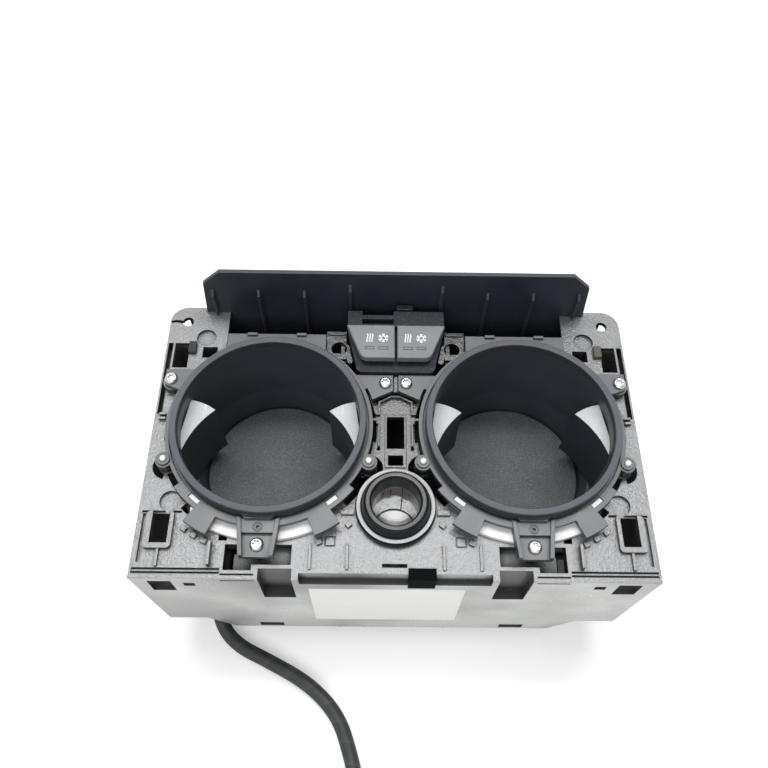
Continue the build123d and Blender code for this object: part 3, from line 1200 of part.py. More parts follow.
def control_board():
    """The control board on its legs, with its main components."""
    low = TRAY_FLOOR_Z
    half = CUP_X - FAN_SIZE / 2 - BOARD_FAN_GAP
    top = low + BOARD_STAND + BOARD_T
    front, rear = BOARD_Y
    length = rear - front
    edge = BOARD_LEG_EDGE
    board = block((-half, half), BOARD_Y, (low + BOARD_STAND, top))
    places = [(x, y) for x in (edge - half, half - edge) for y in (front + edge, rear - edge)]
    legs = [post(x, y, edge / 2, (low, low + BOARD_STAND)) for x, y in places]
    low_y, mid_y, high_y = [(front + a * length, front + b * length) for a, b in BOARD_ROWS]
    chips = [
        block((-half / 3, half / 3), mid_y, (top, top + CHIP_H)),
        block((-half * 0.88, half * 0.88), high_y, (top, top + COIL_H)),
        block((-half * 0.8, -half / 2), low_y, (top, top + 2 * CHIP_H)),
        post(half * 0.56, front + 0.2 * length, half / 5, (top, top + 1.2 * COIL_H)),
    ]
    return board + legs + chips


def tray_outline(inset):
    """Plan outline of the lower housing, drawn in by an inset."""
    wide = TRAY_HALF - inset
    nose = TRAY_NOSE_HALF - inset
    front = TRAY_FRONT_Y + inset
    step = TRAY_STEP_Y + inset
    rear = TRAY_REAR_Y - inset
    return [
        (-nose, front),
        (nose, front),
        (nose, step),
        (wide, step),
        (wide, rear),
        (-wide, rear),
        (-wide, step),
        (-nose, step),
    ]


def lower_housing():
    """The tray under the carrier: feet, grilles, pillars, snap hooks and vents."""
    shell = slab(tray_outline(0), (FOOT_H, TRAY_TOP_Z))
    shell = shell - slab(tray_outline(TRAY_WALL_T), (TRAY_FLOOR_Z, TRAY_TOP_Z + 1))
    pillars = [post(x, y, TOWER_R + 0.5, (FOOT_H, TOWER_FOOT_Z)) for x, y in TOWERS]
    corners = [(TRAY_NOSE_HALF - 10, TRAY_FRONT_Y + 10), (TRAY_HALF - 10, TRAY_REAR_Y - 10)]
    feet = [post(x, y, 6.0, (0, FOOT_H)) for x, y in corners]
    hook = block((CUP_X - 2, CUP_X + 7.8), (FRONT_Y + 0.8, TRAY_FRONT_Y + 1), (APRON_Z + 3, APRON_Z + 7.5))
    prong_y = (TRAY_FRONT_Y - 6, TRAY_FRONT_Y + 1)
    prongs = [block((x - 0.8, x + 0.8), prong_y, (0, FOOT_H + 5)) for x in (14.5, 27.5)]
    prong_bar = block((14.5, 27.5), (TRAY_FRONT_Y - 6, TRAY_FRONT_Y - 4.6), (FOOT_H, FOOT_H + 2.5))
    solid = shell + both_of(pillars + feet + [hook, prong_bar] + prongs)
    cuts = []
    for x, y in TOWERS:
        cuts.append(post(x, y, SCREW_R + SCREW_FIT, (0, TOWER_FOOT_Z + 1)))
        cuts.append(post(x, y, SCREW_HEAD_R + 0.5, (0, TOWER_FOOT_Z - 4)))
        cuts.append(post(x, y, TOWER_R + 0.5, (TOWER_FOOT_Z, TRAY_TOP_Z + 1)))
    cuts += intake_slots()
    for index in range(8):
        y = (index - 3.5) * VENT_PITCH
        vent_x = (TRAY_HALF - TRAY_WALL_T - 1, TRAY_HALF + 1)
        cuts.append(block(vent_x, (y - VENT_HALF, y + VENT_HALF), (FAN_TOP_Z + 1, SINK_Z - 3)))
    solid = solid - both_of(cuts)
    grommet_hole = grommet_axis() * Cylinder(grommet_neck(), 3 * TRAY_WALL_T)
    return solid - grommet_hole


def intake_slots():
    """The air slots in the floor under a fan, clipped to a circle."""
    reach = FAN_BORE_R - 2
    slots = []
    for index in range(-4, 5):
        y = index * FAN_BORE_R / 5
        half = sqrt(reach * reach - y * y)
        slot_y = (y - VENT_HALF, y + VENT_HALF)
        slots.append(block((CUP_X - half, CUP_X + half), slot_y, (0, TRAY_FLOOR_Z + 1)))
    return slots


def grommet_neck():
    """Radius of the grommet's neck in the housing wall."""
    return CABLE_R + 1.2


def grommet_axis():
    """Middle of the grommet's hole in the step wall, turned along Y."""
    x, y, z = CABLE_ROUTE[0]
    return Pos(x, TRAY_STEP_Y + TRAY_WALL_T / 2, z) * Rot(90, 0, 0)


def cable_grommet():
    """The rubber grommet: inner flange, neck, outer flange and tapered boot."""
    x, y, z = CABLE_ROUTE[0]
    neck = grommet_neck() - SEAT_GAP / 2
    flange = neck + 0.6
    wall_in = TRAY_STEP_Y + TRAY_WALL_T
    section = [
        (0, wall_in + 2.0),
        (flange, wall_in + 2.0),
        (flange, wall_in),
        (neck, wall_in),
        (neck, TRAY_STEP_Y),
        (flange, TRAY_STEP_Y),
        (flange, TRAY_STEP_Y - 1.5),
        (CABLE_R + 0.3, y),
        (0, y),
    ]
    face = make_face(Polyline(*[(x + r, depth, z) for r, depth in section], close=True))
    return revolve(face, Axis((x, 0, z), (0, 1, 0)))


def cable():
    """The taped cable from the grommet to the connector: runs with tangent arcs."""
    points = [Vector(*point) for point in CABLE_ROUTE]
    radii = []
    for before, here, after in zip(points, points[1:], points[2:]):
        turn = radians((here - before).get_angle(after - here))
        shorter = min((here - before).length, (after - here).length)
        radii.append(0.45 * shorter / tan(turn / 2))
    path = FilletPolyline(*points, radius=radii)
    start = Plane(origin=path @ 0, z_dir=path % 0)
    tube = sweep(start * Circle(CABLE_R), path=path)
    section = 3.14159265 * CABLE_R * CABLE_R
    print("cable radii", [round(radius, 1) for radius in radii])
    share = tube.volume / (section * path.length)
    print("cable length", round(path.length, 1), "volume share", round(share, 4))
    return tube


def cable_connector():
    """The connector on the cable's end, turned along its last run."""
    end = Vector(*CABLE_ROUTE[-1])
    run = end - Vector(*CABLE_ROUTE[-2])
    heading = degrees(asin(run.Y / sqrt(run.X**2 + run.Y**2)))
    start, tip = CONNECTOR_X
    top = CONNECTOR_H
    collar = Pos(start * 0.6, 0, end.Z) * Rot(0, 90, 0) * Cylinder(CABLE_R + 1.2, start * 1.2)
    body = block(CONNECTOR_X, (-CONNECTOR_HALF, CONNECTOR_HALF), (0, top))
    rows = [(step - 1.5) * CHAMBER_PITCH for step in range(4)]
    chambers = [block((tip - 11, tip + 1), (y - 1.3, y + 1.3), (3.6, 6.8)) for y in rows]
    latch = block((start + 7, tip - 6), (-3.5, 3.5), (top, top + 1.6))
    latch = latch + block((tip - 6, tip - 4), (-4.5, 4.5), (top, top + 2.6))
    edges = (2 - CONNECTOR_HALF, CONNECTOR_HALF - 2)
    rails = [block(CONNECTOR_X, (y - 0.8, y + 0.8), (top, top + 1.0)) for y in edges]
    shape = collar + [body - chambers, latch] + rails
    return Pos(end.X, end.Y, 0) * Rot(0, 0, heading) * shape


def label():
    """The blank label in its shallow recess on the front wall."""
    return block(LABEL_X, (FRONT_Y, FRONT_Y + LABEL_T), LABEL_Z)


def left_and_right(name, shape):
    """Two mirrored nodes with the same name after left_ and right_."""
    return {"right_" + name: shape, "left_" + name: other_side(shape)}


def flap_nodes():
    """The four flaps, and the groups of their pins and springs."""
    nodes = {}
    for place, flap in zip(("outer", "inner"), both_ends(resting_flap()), strict=True):
        nodes.update(left_and_right(place + "_flap", flap))
    nodes["flap_pins"] = Compound(both_of(both_ends(flap_pin())))
    nodes["flap_springs"] = Compound(both_of(both_ends(flap_spring())))
    return nodes


def all_nodes():
    """Every piece of the cup holder by its name."""
    nodes = {"carrier_frame": carrier_frame(), "lower_housing": lower_housing(), "rear_panel": rear_panel()}
    nodes.update(left_and_right("cup", right_cup()))
    nodes.update(left_and_right("floor_pad", floor_pad()))
    nodes.update(flap_nodes())
    nodes.update(left_and_right("button", right_button()))
    nodes["switch_housing"] = switch_housing()
    nodes["switch_board"] = switch_board()
    nodes["socket_collar"] = socket_collar()
    nodes["socket_barrel"] = socket_barrel()
    nodes["socket_contact"] = socket_contact()
    nodes["cup_screws"] = Compound(both_of([pan_screw(x, y, seat, SCREW_LEN) for x, y, seat in CUP_SCREWS]))
    nodes["locating_pins"] = Compound(both_of([locating_pin(x, y) for x, y in PINS]))
    nodes["housing_screws"] = Compound(both_of([housing_screw(x, y) for x, y in TOWERS]))
    nodes["panel_screws"] = Compound(panel_screws())
    nodes["front_clip"] = front_clip()
    nodes["front_label"] = label()
    nodes.update(left_and_right("felt_pad", felt_pad()))
    nodes.update(left_and_right("insulation", insulation()))
    nodes.update(left_and_right("thermo_module", thermo_module()))
    nodes.update(left_and_right("heat_sink", heat_sink()))
    nodes.update(left_and_right("fan_frame", fan_frame()))
    nodes.update(left_and_right("fan_wheel", fan_wheel()))
    nodes["control_board"] = control_board()
    nodes["cable_grommet"] = cable_grommet()
    nodes["cable"] = cable()
    nodes["cable_connector"] = cable_connector()
    return nodes


os.makedirs("parts", exist_ok=True)
for name, shape in all_nodes().items():
    export_step(shape, "parts/" + name + ".step")
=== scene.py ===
import math

import bmesh
import bpy
from mathutils import Matrix, Vector


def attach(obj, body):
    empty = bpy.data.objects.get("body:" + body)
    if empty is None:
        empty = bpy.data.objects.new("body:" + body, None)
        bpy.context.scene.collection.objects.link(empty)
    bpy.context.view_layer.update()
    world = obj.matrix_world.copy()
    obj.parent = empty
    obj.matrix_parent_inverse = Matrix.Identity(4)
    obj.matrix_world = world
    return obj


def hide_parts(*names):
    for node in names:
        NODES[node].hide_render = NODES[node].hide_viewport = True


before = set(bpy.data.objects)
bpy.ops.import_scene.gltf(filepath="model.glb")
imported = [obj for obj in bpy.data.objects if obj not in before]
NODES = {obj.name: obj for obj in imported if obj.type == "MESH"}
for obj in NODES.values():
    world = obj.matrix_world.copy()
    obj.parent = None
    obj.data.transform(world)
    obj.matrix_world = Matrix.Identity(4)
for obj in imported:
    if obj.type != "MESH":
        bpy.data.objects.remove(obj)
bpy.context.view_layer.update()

bl_info = {
    "name": "Console cup holder",
    "version": (1, 0, 0),
    "blender": (4, 5, 0),
    "location": "View3D > Sidebar > Cup holder",
    "description": "Dresses the double cup holder with its finishes, signs, screws, tape and stage",
    "category": "Object",
}

# The cable's route, in metres, from the grommet to the connector
CABLE_ROUTE = [
    (-0.0918, -0.0485, 0.0108),
    (-0.0918, -0.0590, 0.0108),
    (-0.0886, -0.0713, 0.0058),
    (-0.0795, -0.0803, 0.00375),
    (-0.0645, -0.0871, 0.00375),
    (-0.0420, -0.0985, 0.00375),
    (-0.0265, -0.1135, 0.00375),
    (-0.0198, -0.1315, 0.00375),
    (-0.0145, -0.1520, 0.00375),
    (0.0000, -0.1720, 0.00375),
    (0.0240, -0.1840, 0.00375),
    (0.0500, -0.1860, 0.0055),
    (0.0720, -0.1810, 0.0055),
]

# Signs on the buttons: side, middle of the heat waves and of the snowflake
SIGN_PLACES = [("left", -0.0128, -0.0062), ("right", 0.0058, 0.0123)]
SIGN_Y = 0.045
LAMP_Y = 0.0392
BUTTON_TOP = 0.108

# Colour of the painted highlights on the edges
EDGE_HIGHLIGHT_COLOUR = (0.4, 0.41, 0.42)

# Cup screws of the right half: place and face under the head
SCREW_PLACES = [(0.1077, 0.024, 0.102), (0.00505, 0.024, 0.1), (0.0601, -0.0571, 0.1)]

# Outline of a screw, from its tip to the floor of its recess: share of the radius, rise above the face
# in shares of the head's height, further drop in metres, and depth of the lobes
SCREW_OUTLINE = [
    (0.45, 0.0, 0.009, 0.0),
    (0.45, 0.0, 0.0, 0.0),
    (1.0, 0.0, 0.0, 0.0),
    (1.0, 0.3, 0.0, 0.0),
    (0.93, 0.62, 0.0, 0.0),
    (0.76, 0.9, 0.0, 0.0),
    (0.62, 1.0, 0.0, 0.0),
    (0.52, 0.98, 0.0, 0.16),
    (0.48, 0.2, 0.0, 0.16),
]

# Lamp windows of the buttons: width, depth and stroke of the frame
LAMP_WINDOW = (0.0046, 0.0016)
LAMP_STROKE = 0.0003

# Turns of the tape along the cable
TAPE_TURNS = 21.0

# Heights between which faces have their own colour and roughness, in metres: below the deck a rougher finish
# only, painted sheen on the well floors, the deck, the cups' flanges, the rim tops and the flap tops, painted
# shade on the rim sides, painted highlights on the collar's ring and top, and painted shade and reflection in
# the socket's mouth above its height
BELOW_DECK = (-0.01, 0.0932)
WELL_FLOORS = (0.0885, 0.0912)
DECK_FACES = (0.0932, 0.12)
FLANGE_TOPS = (0.0985, 0.1036)
RIM_SIDES = (0.1036, 0.1075)
RIM_TOPS = (0.1065, 0.11)
FLAP_TOPS = (0.0, 0.12)
COLLAR_RING = (0.0991, 0.0997)
COLLAR_TOP = (0.1043, 0.1055)
SOCKET_MOUTH = 0.0835

# Least upward part of a face's normal in a band of upper faces, and in one of all faces
UPPER_FACE = 0.8
ANY_FACE = -2.0

# Half the width and depth at which the carrier's outer walls begin
CARRIER_WALLS = (0.1, 0.0675)

# Lamps: name, place, target, size or cone and blend, power and kind
LAMPS = [
    ("Ceiling_panel", (0.0, 0.42, 1.25), (0.0, 0.0, 0.08), (1.3, 0.9), 7.0, "AREA"),
    ("Ceiling_strip", (0.0, 0.3, 1.2), (0.0, -0.05, 0.09), (1.2, 0.16), 7.5, "AREA"),
    ("Front_window", (-0.3, -0.85, 1.0), (0.0, 0.0, 0.06), (1.4, 0.7), 8.0, "AREA"),
    ("Socket_spot", (-0.02, -0.45, 1.1), (0.0, -0.038, 0.105), (1.2, 0.3), 45.0, "SPOT"),
]


def colour_prop(name, description, default):
    """A colour that the user can change."""
    return bpy.props.FloatVectorProperty(
        name=name, description=description, subtype="COLOR", size=3, min=0.0, max=1.0, default=default
    )


def length_prop(name, description, default):
    """A length in metres that the user can change."""
    return bpy.props.FloatProperty(
        name=name, description=description, unit="LENGTH", min=0.00005, max=3.0, precision=5, default=default
    )


class CupHolderColours(bpy.types.PropertyGroup):
    """Colours of the cup holder's finishes, and of its painted sheen, highlights, reflection and shade."""

    carrier: colour_prop("Carrier", "Glass-filled plastic of the carrier", (0.022, 0.023, 0.024))
    # Painted sheen on the deck's upper faces
    carrier_top_sheen: colour_prop("Carrier top", "Upper faces of the carrier, with painted sheen", (0.15, 0.152, 0.156))
    # Painted sheen on the floors of the wells
    carrier_well_sheen: colour_prop("Carrier wells", "Floors of the wells under the tongues", (0.16, 0.165, 0.165))
    # Painted reflection of the table on the outer walls
    carrier_wall_reflection: colour_prop("Carrier walls", "Outer walls of the carrier, with a painted reflection of the table", (0.56, 0.57, 0.555))
    cup: colour_prop("Cups", "Satin plastic of the cups and flaps", (0.033, 0.039, 0.051))
    # Painted sheen on the upper faces of the cups' flanges and arms
    cup_top_sheen: colour_prop("Cup arms", "Upper faces of the cups' flanges and arms", (0.072, 0.077, 0.085))
    # Painted sheen on the tops of the grip flaps
    flap_top_sheen: colour_prop("Flap tops", "Pale tops of the grip flaps, with painted sheen", (0.5, 0.505, 0.52))
    pad: colour_prop("Floor pads", "Speckled pads in the cups", (0.07, 0.076, 0.082))
    panel: colour_prop("Rear panel", "Dark upright panel", (0.021, 0.026, 0.037))
    switch: colour_prop("Switch case", "Case round the buttons", (0.012, 0.016, 0.021))
    button: colour_prop("Buttons", "Soft-touch button caps", (0.18, 0.183, 0.195))
    sign: colour_prop("Signs", "White signs on the buttons", (0.88, 0.89, 0.9))
    socket: colour_prop("Socket collar", "Glossy collar of the socket", (0.008, 0.01, 0.012))
    # Painted highlights on the collar's ring and top
    collar_highlight: colour_prop("Collar edge", "Painted highlight ring on the socket's collar", (0.55, 0.56, 0.56))
    zinc: colour_prop("Screws", "Bright zinc of the screws", (0.6, 0.595, 0.58))
    steel: colour_prop("Socket barrel", "Pale satin steel of the socket", (0.93, 0.94, 0.95))
    # Painted shade and reflection of the collar in the barrel's mouth
    mouth_shade: colour_prop("Socket mouth", "Dark brown painted shade and reflection at the socket's mouth", (0.06, 0.05, 0.044))
    nylon: colour_prop("Pins", "Natural white of the locating pins", (0.86, 0.86, 0.84))
    foam: colour_prop("Insulation", "White strips under the cups' arms", (0.88, 0.88, 0.87))
    label: colour_prop("Label", "Blank paper label", (0.95, 0.95, 0.935))
    tape: colour_prop("Cable tape", "Woven tape round the cable", (0.012, 0.015, 0.014))
    housing: colour_prop("Lower housing", "Plastic of the lower housing", (0.03, 0.031, 0.033))


class CupHolderSizes(bpy.types.PropertyGroup):
    """Sizes of the pieces that are added to the solids."""

    cable: length_prop("Cable", "Diameter of the taped cable", 0.0075)
    sign: length_prop("Sign height", "Height of the signs on the buttons", 0.005)
    stroke: length_prop("Sign stroke", "Width of the signs' lines", 0.0006)
    paint: length_prop("Paint", "Thickness of the signs", 0.00006)
    screw_head: length_prop("Screw head", "Diameter of the cup screws' heads", 0.0062)
    screw_rise: length_prop("Screw rise", "Height of the cup screws' heads", 0.002)


class CupHolderStage(bpy.types.PropertyGroup):
    """Camera and light."""

    camera: bpy.props.FloatVectorProperty(
        name="Camera", description="Place of the camera", subtype="TRANSLATION", unit="LENGTH",
        default=(-0.00913, -0.16399, 0.42668),
    )
    pitch: bpy.props.FloatProperty(
        name="Pitch", description="How far the camera looks down", subtype="ANGLE",
        default=math.radians(60.12),
    )
    yaw: bpy.props.FloatProperty(
        name="Yaw", description="Turn of the camera about the vertical", subtype="ANGLE",
        default=math.radians(-1.056),
    )
    roll: bpy.props.FloatProperty(
        name="Roll", description="Tilt of the picture", subtype="ANGLE", default=math.radians(1.61)
    )
    lens: bpy.props.FloatProperty(name="Lens", description="Focal length in millimetres", default=36.52)
    floor: length_prop("Floor", "Half the width of the floor", 2.5)


def new_node(tree, kind, **values):
    """Adds a node and sets its properties."""
    node = tree.nodes.new(kind)
    for name, value in values.items():
        setattr(node, name, value)
    return node


def maths(tree, operation, first, second):
    """A math node whose inputs are sockets or numbers."""
    node = new_node(tree, "ShaderNodeMath", operation=operation)
    for place, value in enumerate((first, second)):
        if isinstance(value, bpy.types.NodeSocket):
            tree.links.new(value, node.inputs[place])
        else:
            node.inputs[place].default_value = value
    return node.outputs[0]


def blend_colours(tree, factor, first, second):
    """A colour mix whose inputs are sockets or colours."""
    node = new_node(tree, "ShaderNodeMix", data_type="RGBA")
    tree.links.new(factor, node.inputs[0])
    for place, value in ((6, first), (7, second)):
        if isinstance(value, bpy.types.NodeSocket):
            tree.links.new(value, node.inputs[place])
        else:
            node.inputs[place].default_value = (*value, 1.0)
    return node.outputs[2]


def shaded(colour, share):
    """A colour made lighter or darker."""
    return tuple(min(1.0, part * share) for part in colour)


def group_with(name, inputs, outputs):
    """An empty shader group with its sockets."""
    tree = bpy.data.node_groups.new(name, "ShaderNodeTree")
    for label, kind, default in inputs:
        socket = tree.interface.new_socket(name=label, in_out="INPUT", socket_type=kind)
        if default is not None:
            socket.default_value = default
    for label, kind in outputs:
        tree.interface.new_socket(name=label, in_out="OUTPUT", socket_type=kind)
    return tree, new_node(tree, "NodeGroupInput"), new_node(tree, "NodeGroupOutput")


def grain_group():
    """Fine moulded grain: a height, a speckle mask and a slow mottling."""
    name = "Moulded grain"
    if name in bpy.data.node_groups:
        return bpy.data.node_groups[name]
    inputs = [
        ("Vector", "NodeSocketVector", None),
        ("Grain per metre", "NodeSocketFloat", 1400.0),
        ("Mottle per metre", "NodeSocketFloat", 60.0),
    ]
    outputs = [("Height", "NodeSocketFloat"), ("Speckle", "NodeSocketFloat"), ("Mottle", "NodeSocketFloat")]
    tree, given, result = group_with(name, inputs, outputs)
    fine = new_node(tree, "ShaderNodeTexNoise", noise_dimensions="3D")
    fine.inputs["Detail"].default_value = 3.0
    cells = new_node(tree, "ShaderNodeTexVoronoi")
    slow = new_node(tree, "ShaderNodeTexNoise", noise_dimensions="3D")
    slow.inputs["Detail"].default_value = 4.0
    for node in (fine, cells, slow):
        tree.links.new(given.outputs["Vector"], node.inputs["Vector"])
    tree.links.new(given.outputs["Grain per metre"], fine.inputs["Scale"])
    tree.links.new(maths(tree, "MULTIPLY", given.outputs["Grain per metre"], 0.6), cells.inputs["Scale"])
    tree.links.new(given.outputs["Mottle per metre"], slow.inputs["Scale"])
    height = maths(tree, "ADD", fine.outputs[0], maths(tree, "MULTIPLY", cells.outputs["Distance"], 0.5))
    tree.links.new(height, result.inputs["Height"])
    edge = new_node(tree, "ShaderNodeMapRange")
    edge.inputs["From Min"].default_value = 0.52
    edge.inputs["From Max"].default_value = 0.72
    tree.links.new(fine.outputs[0], edge.inputs["Value"])
    tree.links.new(edge.outputs[0], result.inputs["Speckle"])
    even = new_node(tree, "ShaderNodeMapRange")
    even.inputs["From Min"].default_value = 0.3
    even.inputs["From Max"].default_value = 0.7
    tree.links.new(slow.outputs[0], even.inputs["Value"])
    tree.links.new(even.outputs[0], result.inputs["Mottle"])
    return tree


def scuff_group():
    """Thin light scratches and dust over a surface, as a mask."""
    name = "Scuffs"
    if name in bpy.data.node_groups:
        return bpy.data.node_groups[name]
    inputs = [("Vector", "NodeSocketVector", None), ("Amount", "NodeSocketFloat", 0.3)]
    tree, given, result = group_with(name, inputs, [("Mask", "NodeSocketFloat")])
    stretch = new_node(tree, "ShaderNodeMapping")
    stretch.inputs["Scale"].default_value = (900.0, 70.0, 300.0)
    stretch.inputs["Rotation"].default_value = (0.3, 0.2, 0.6)
    lines = new_node(tree, "ShaderNodeTexNoise")
    lines.inputs["Scale"].default_value = 1.0
    lines.inputs["Detail"].default_value = 2.0
    patches = new_node(tree, "ShaderNodeTexNoise")
    patches.inputs["Scale"].default_value = 35.0
    tree.links.new(given.outputs["Vector"], stretch.inputs["Vector"])
    tree.links.new(stretch.outputs[0], lines.inputs["Vector"])
    tree.links.new(given.outputs["Vector"], patches.inputs["Vector"])
    thin = new_node(tree, "ShaderNodeMapRange")
    thin.inputs["From Min"].default_value = 0.64
    thin.inputs["From Max"].default_value = 0.72
    tree.links.new(lines.outputs[0], thin.inputs["Value"])
    where = new_node(tree, "ShaderNodeMapRange")
    where.inputs["From Min"].default_value = 0.45
    where.inputs["From Max"].default_value = 0.65
    tree.links.new(patches.outputs[0], where.inputs["Value"])
    both = maths(tree, "MULTIPLY", thin.outputs[0], where.outputs[0])
    tree.links.new(maths(tree, "MULTIPLY", both, given.outputs["Amount"]), result.inputs["Mask"])
    return tree


def place_group(tree, group, coordinates, values):
    """Puts a group in a material with its own values."""
    node = new_node(tree, "ShaderNodeGroup", node_tree=group)
    tree.links.new(coordinates, node.inputs["Vector"])
    for name, value in values.items():
        node.inputs[name].default_value = value
    return node


def place_grain(tree, coordinates, grain, mottle):
    """Puts the moulded grain in a material, with its two fineness values."""
    values = {"Grain per metre": grain, "Mottle per metre": mottle}
    return place_group(tree, grain_group(), coordinates, values)


def blank_material(name):
    """A material with its shader, its tree and Object coordinates."""
    material = bpy.data.materials.new(name)
    material.use_nodes = True
    tree = material.node_tree
    shader = tree.nodes["Principled BSDF"]
    coordinates = new_node(tree, "ShaderNodeTexCoord").outputs["Object"]
    return material, tree, shader, coordinates


def soft_edges(tree, radius):
    """The normal of a surface whose edges look slightly rounded."""
    soft = new_node(tree, "ShaderNodeBevel", samples=4)
    soft.inputs["Radius"].default_value = radius
    return soft.outputs[0]


def highlighted_edges(tree, soft):
    """Mask of the edges for the painted highlights, where the rounded normal leaves that of the face."""
    node = new_node(tree, "ShaderNodeVectorMath", operation="DOT_PRODUCT")
    tree.links.new(soft, node.inputs[0])
    tree.links.new(new_node(tree, "ShaderNodeNewGeometry").outputs["Normal"], node.inputs[1])
    return smooth_steps(tree, maths(tree, "SUBTRACT", 1.0, node.outputs["Value"]), 0.02, 0.2)


def add_bump(tree, shader, height, strength, depth, soft=None):
    """Bump from a height, over a normal if one is given."""
    bump = new_node(tree, "ShaderNodeBump")
    bump.inputs["Strength"].default_value = strength
    bump.inputs["Distance"].default_value = depth
    tree.links.new(height, bump.inputs["Height"])
    if soft is not None:
        tree.links.new(soft, bump.inputs["Normal"])
    tree.links.new(bump.outputs[0], shader.inputs["Normal"])


def scaled(tree, colour, share):
    """A colour, given or from a socket, made lighter or darker by a socket."""
    node = new_node(tree, "ShaderNodeVectorMath", operation="SCALE")
    if isinstance(colour, bpy.types.NodeSocket):
        tree.links.new(colour, node.inputs[0])
    else:
        node.inputs[0].default_value = tuple(colour)
    tree.links.new(share, node.inputs["Scale"])
    return node.outputs[0]


def parts_of(tree, vector):
    """The three parts of a vector."""
    node = new_node(tree, "ShaderNodeSeparateXYZ")
    tree.links.new(vector, node.inputs[0])
    return node.outputs


def upper_faces(tree, coordinates, low, high, least=UPPER_FACE):
    """Mask of the faces between two heights whose normals look up by at least so much."""
    facing = parts_of(tree, new_node(tree, "ShaderNodeTexCoord").outputs["Normal"])
    height = parts_of(tree, coordinates)[2]
    above = maths(tree, "GREATER_THAN", height, low)
    within = maths(tree, "MULTIPLY", above, maths(tree, "LESS_THAN", height, high))
    return maths(tree, "MULTIPLY", within, maths(tree, "GREATER_THAN", facing[2], least))


def outer_faces(tree, coordinates, half_width, half_depth):
    """Mask of the walls that face outwards, outside a box round the middle."""
    place = parts_of(tree, coordinates)
    facing = parts_of(tree, new_node(tree, "ShaderNodeTexCoord").outputs["Normal"])
    masks = []
    for side, half in ((0, half_width), (1, half_depth)):
        outside = maths(tree, "GREATER_THAN", maths(tree, "ABSOLUTE", place[side], 0.0), half)
        outward = maths(tree, "MULTIPLY", maths(tree, "SIGN", place[side], 0.0), facing[side])
        masks.append(maths(tree, "MULTIPLY", outside, maths(tree, "GREATER_THAN", outward, 0.7)))
    return maths(tree, "MAXIMUM", *masks)


def smooth_steps(tree, value, low, high):
    """A value brought to 0 below one limit and to 1 above the other."""
    node = new_node(tree, "ShaderNodeMapRange", interpolation_type="SMOOTHSTEP")
    node.inputs["From Min"].default_value = low
    node.inputs["From Max"].default_value = high
    tree.links.new(value, node.inputs["Value"])
    return node.outputs[0]


def painted_wall_reflection(tree, coordinates, paint):
    """The colour of an outer wall with a painted reflection of the table: cloudy, and weaker behind the
    front.
    """
    clouds = new_node(tree, "ShaderNodeTexNoise", noise_dimensions="3D")
    clouds.inputs["Scale"].default_value = 11.0
    clouds.inputs["Detail"].default_value = 2.0
    clouds.inputs["Distortion"].default_value = 0.4
    tree.links.new(coordinates, clouds.inputs["Vector"])
    behind = smooth_steps(tree, parts_of(tree, coordinates)[1], -0.068, 0.0)
    weaker_behind = maths(tree, "SUBTRACT", 1.0, maths(tree, "MULTIPLY", behind, 0.8))
    # Strength of the painted reflection, cloudy
    reflection_share = maths(tree, "MULTIPLY", smooth_steps(tree, clouds.outputs[0], 0.36, 0.56), 0.45)
    reflection_share = maths(tree, "ADD", reflection_share, 0.45)
    return scaled(tree, paint, maths(tree, "MULTIPLY", reflection_share, weaker_behind))


def towards_edges(tree, coordinates, middle, edges):
    """Painted light on a wide piece: how bright it is from its middle to its front and its two ends."""
    place = parts_of(tree, coordinates)
    ends = smooth_steps(tree, maths(tree, "ABSOLUTE", place[0], 0.0), 0.02, 0.075)
    front = smooth_steps(tree, maths(tree, "MULTIPLY", place[1], -1.0), 0.025, 0.055)
    near = maths(tree, "MAXIMUM", ends, front)
    return maths(tree, "ADD", maths(tree, "MULTIPLY", near, edges - middle), middle)


def painted_corner_shade(tree, amount):
    """How much of the colour is kept where painted shade darkens the corners, found by ambient occlusion."""
    corners = new_node(tree, "ShaderNodeAmbientOcclusion", samples=4, only_local=True)
    corners.inputs["Distance"].default_value = 0.004
    kept = smooth_steps(tree, corners.outputs["AO"], 0.5, 1.0)
    return maths(tree, "ADD", maths(tree, "MULTIPLY", kept, amount), 1 - amount)


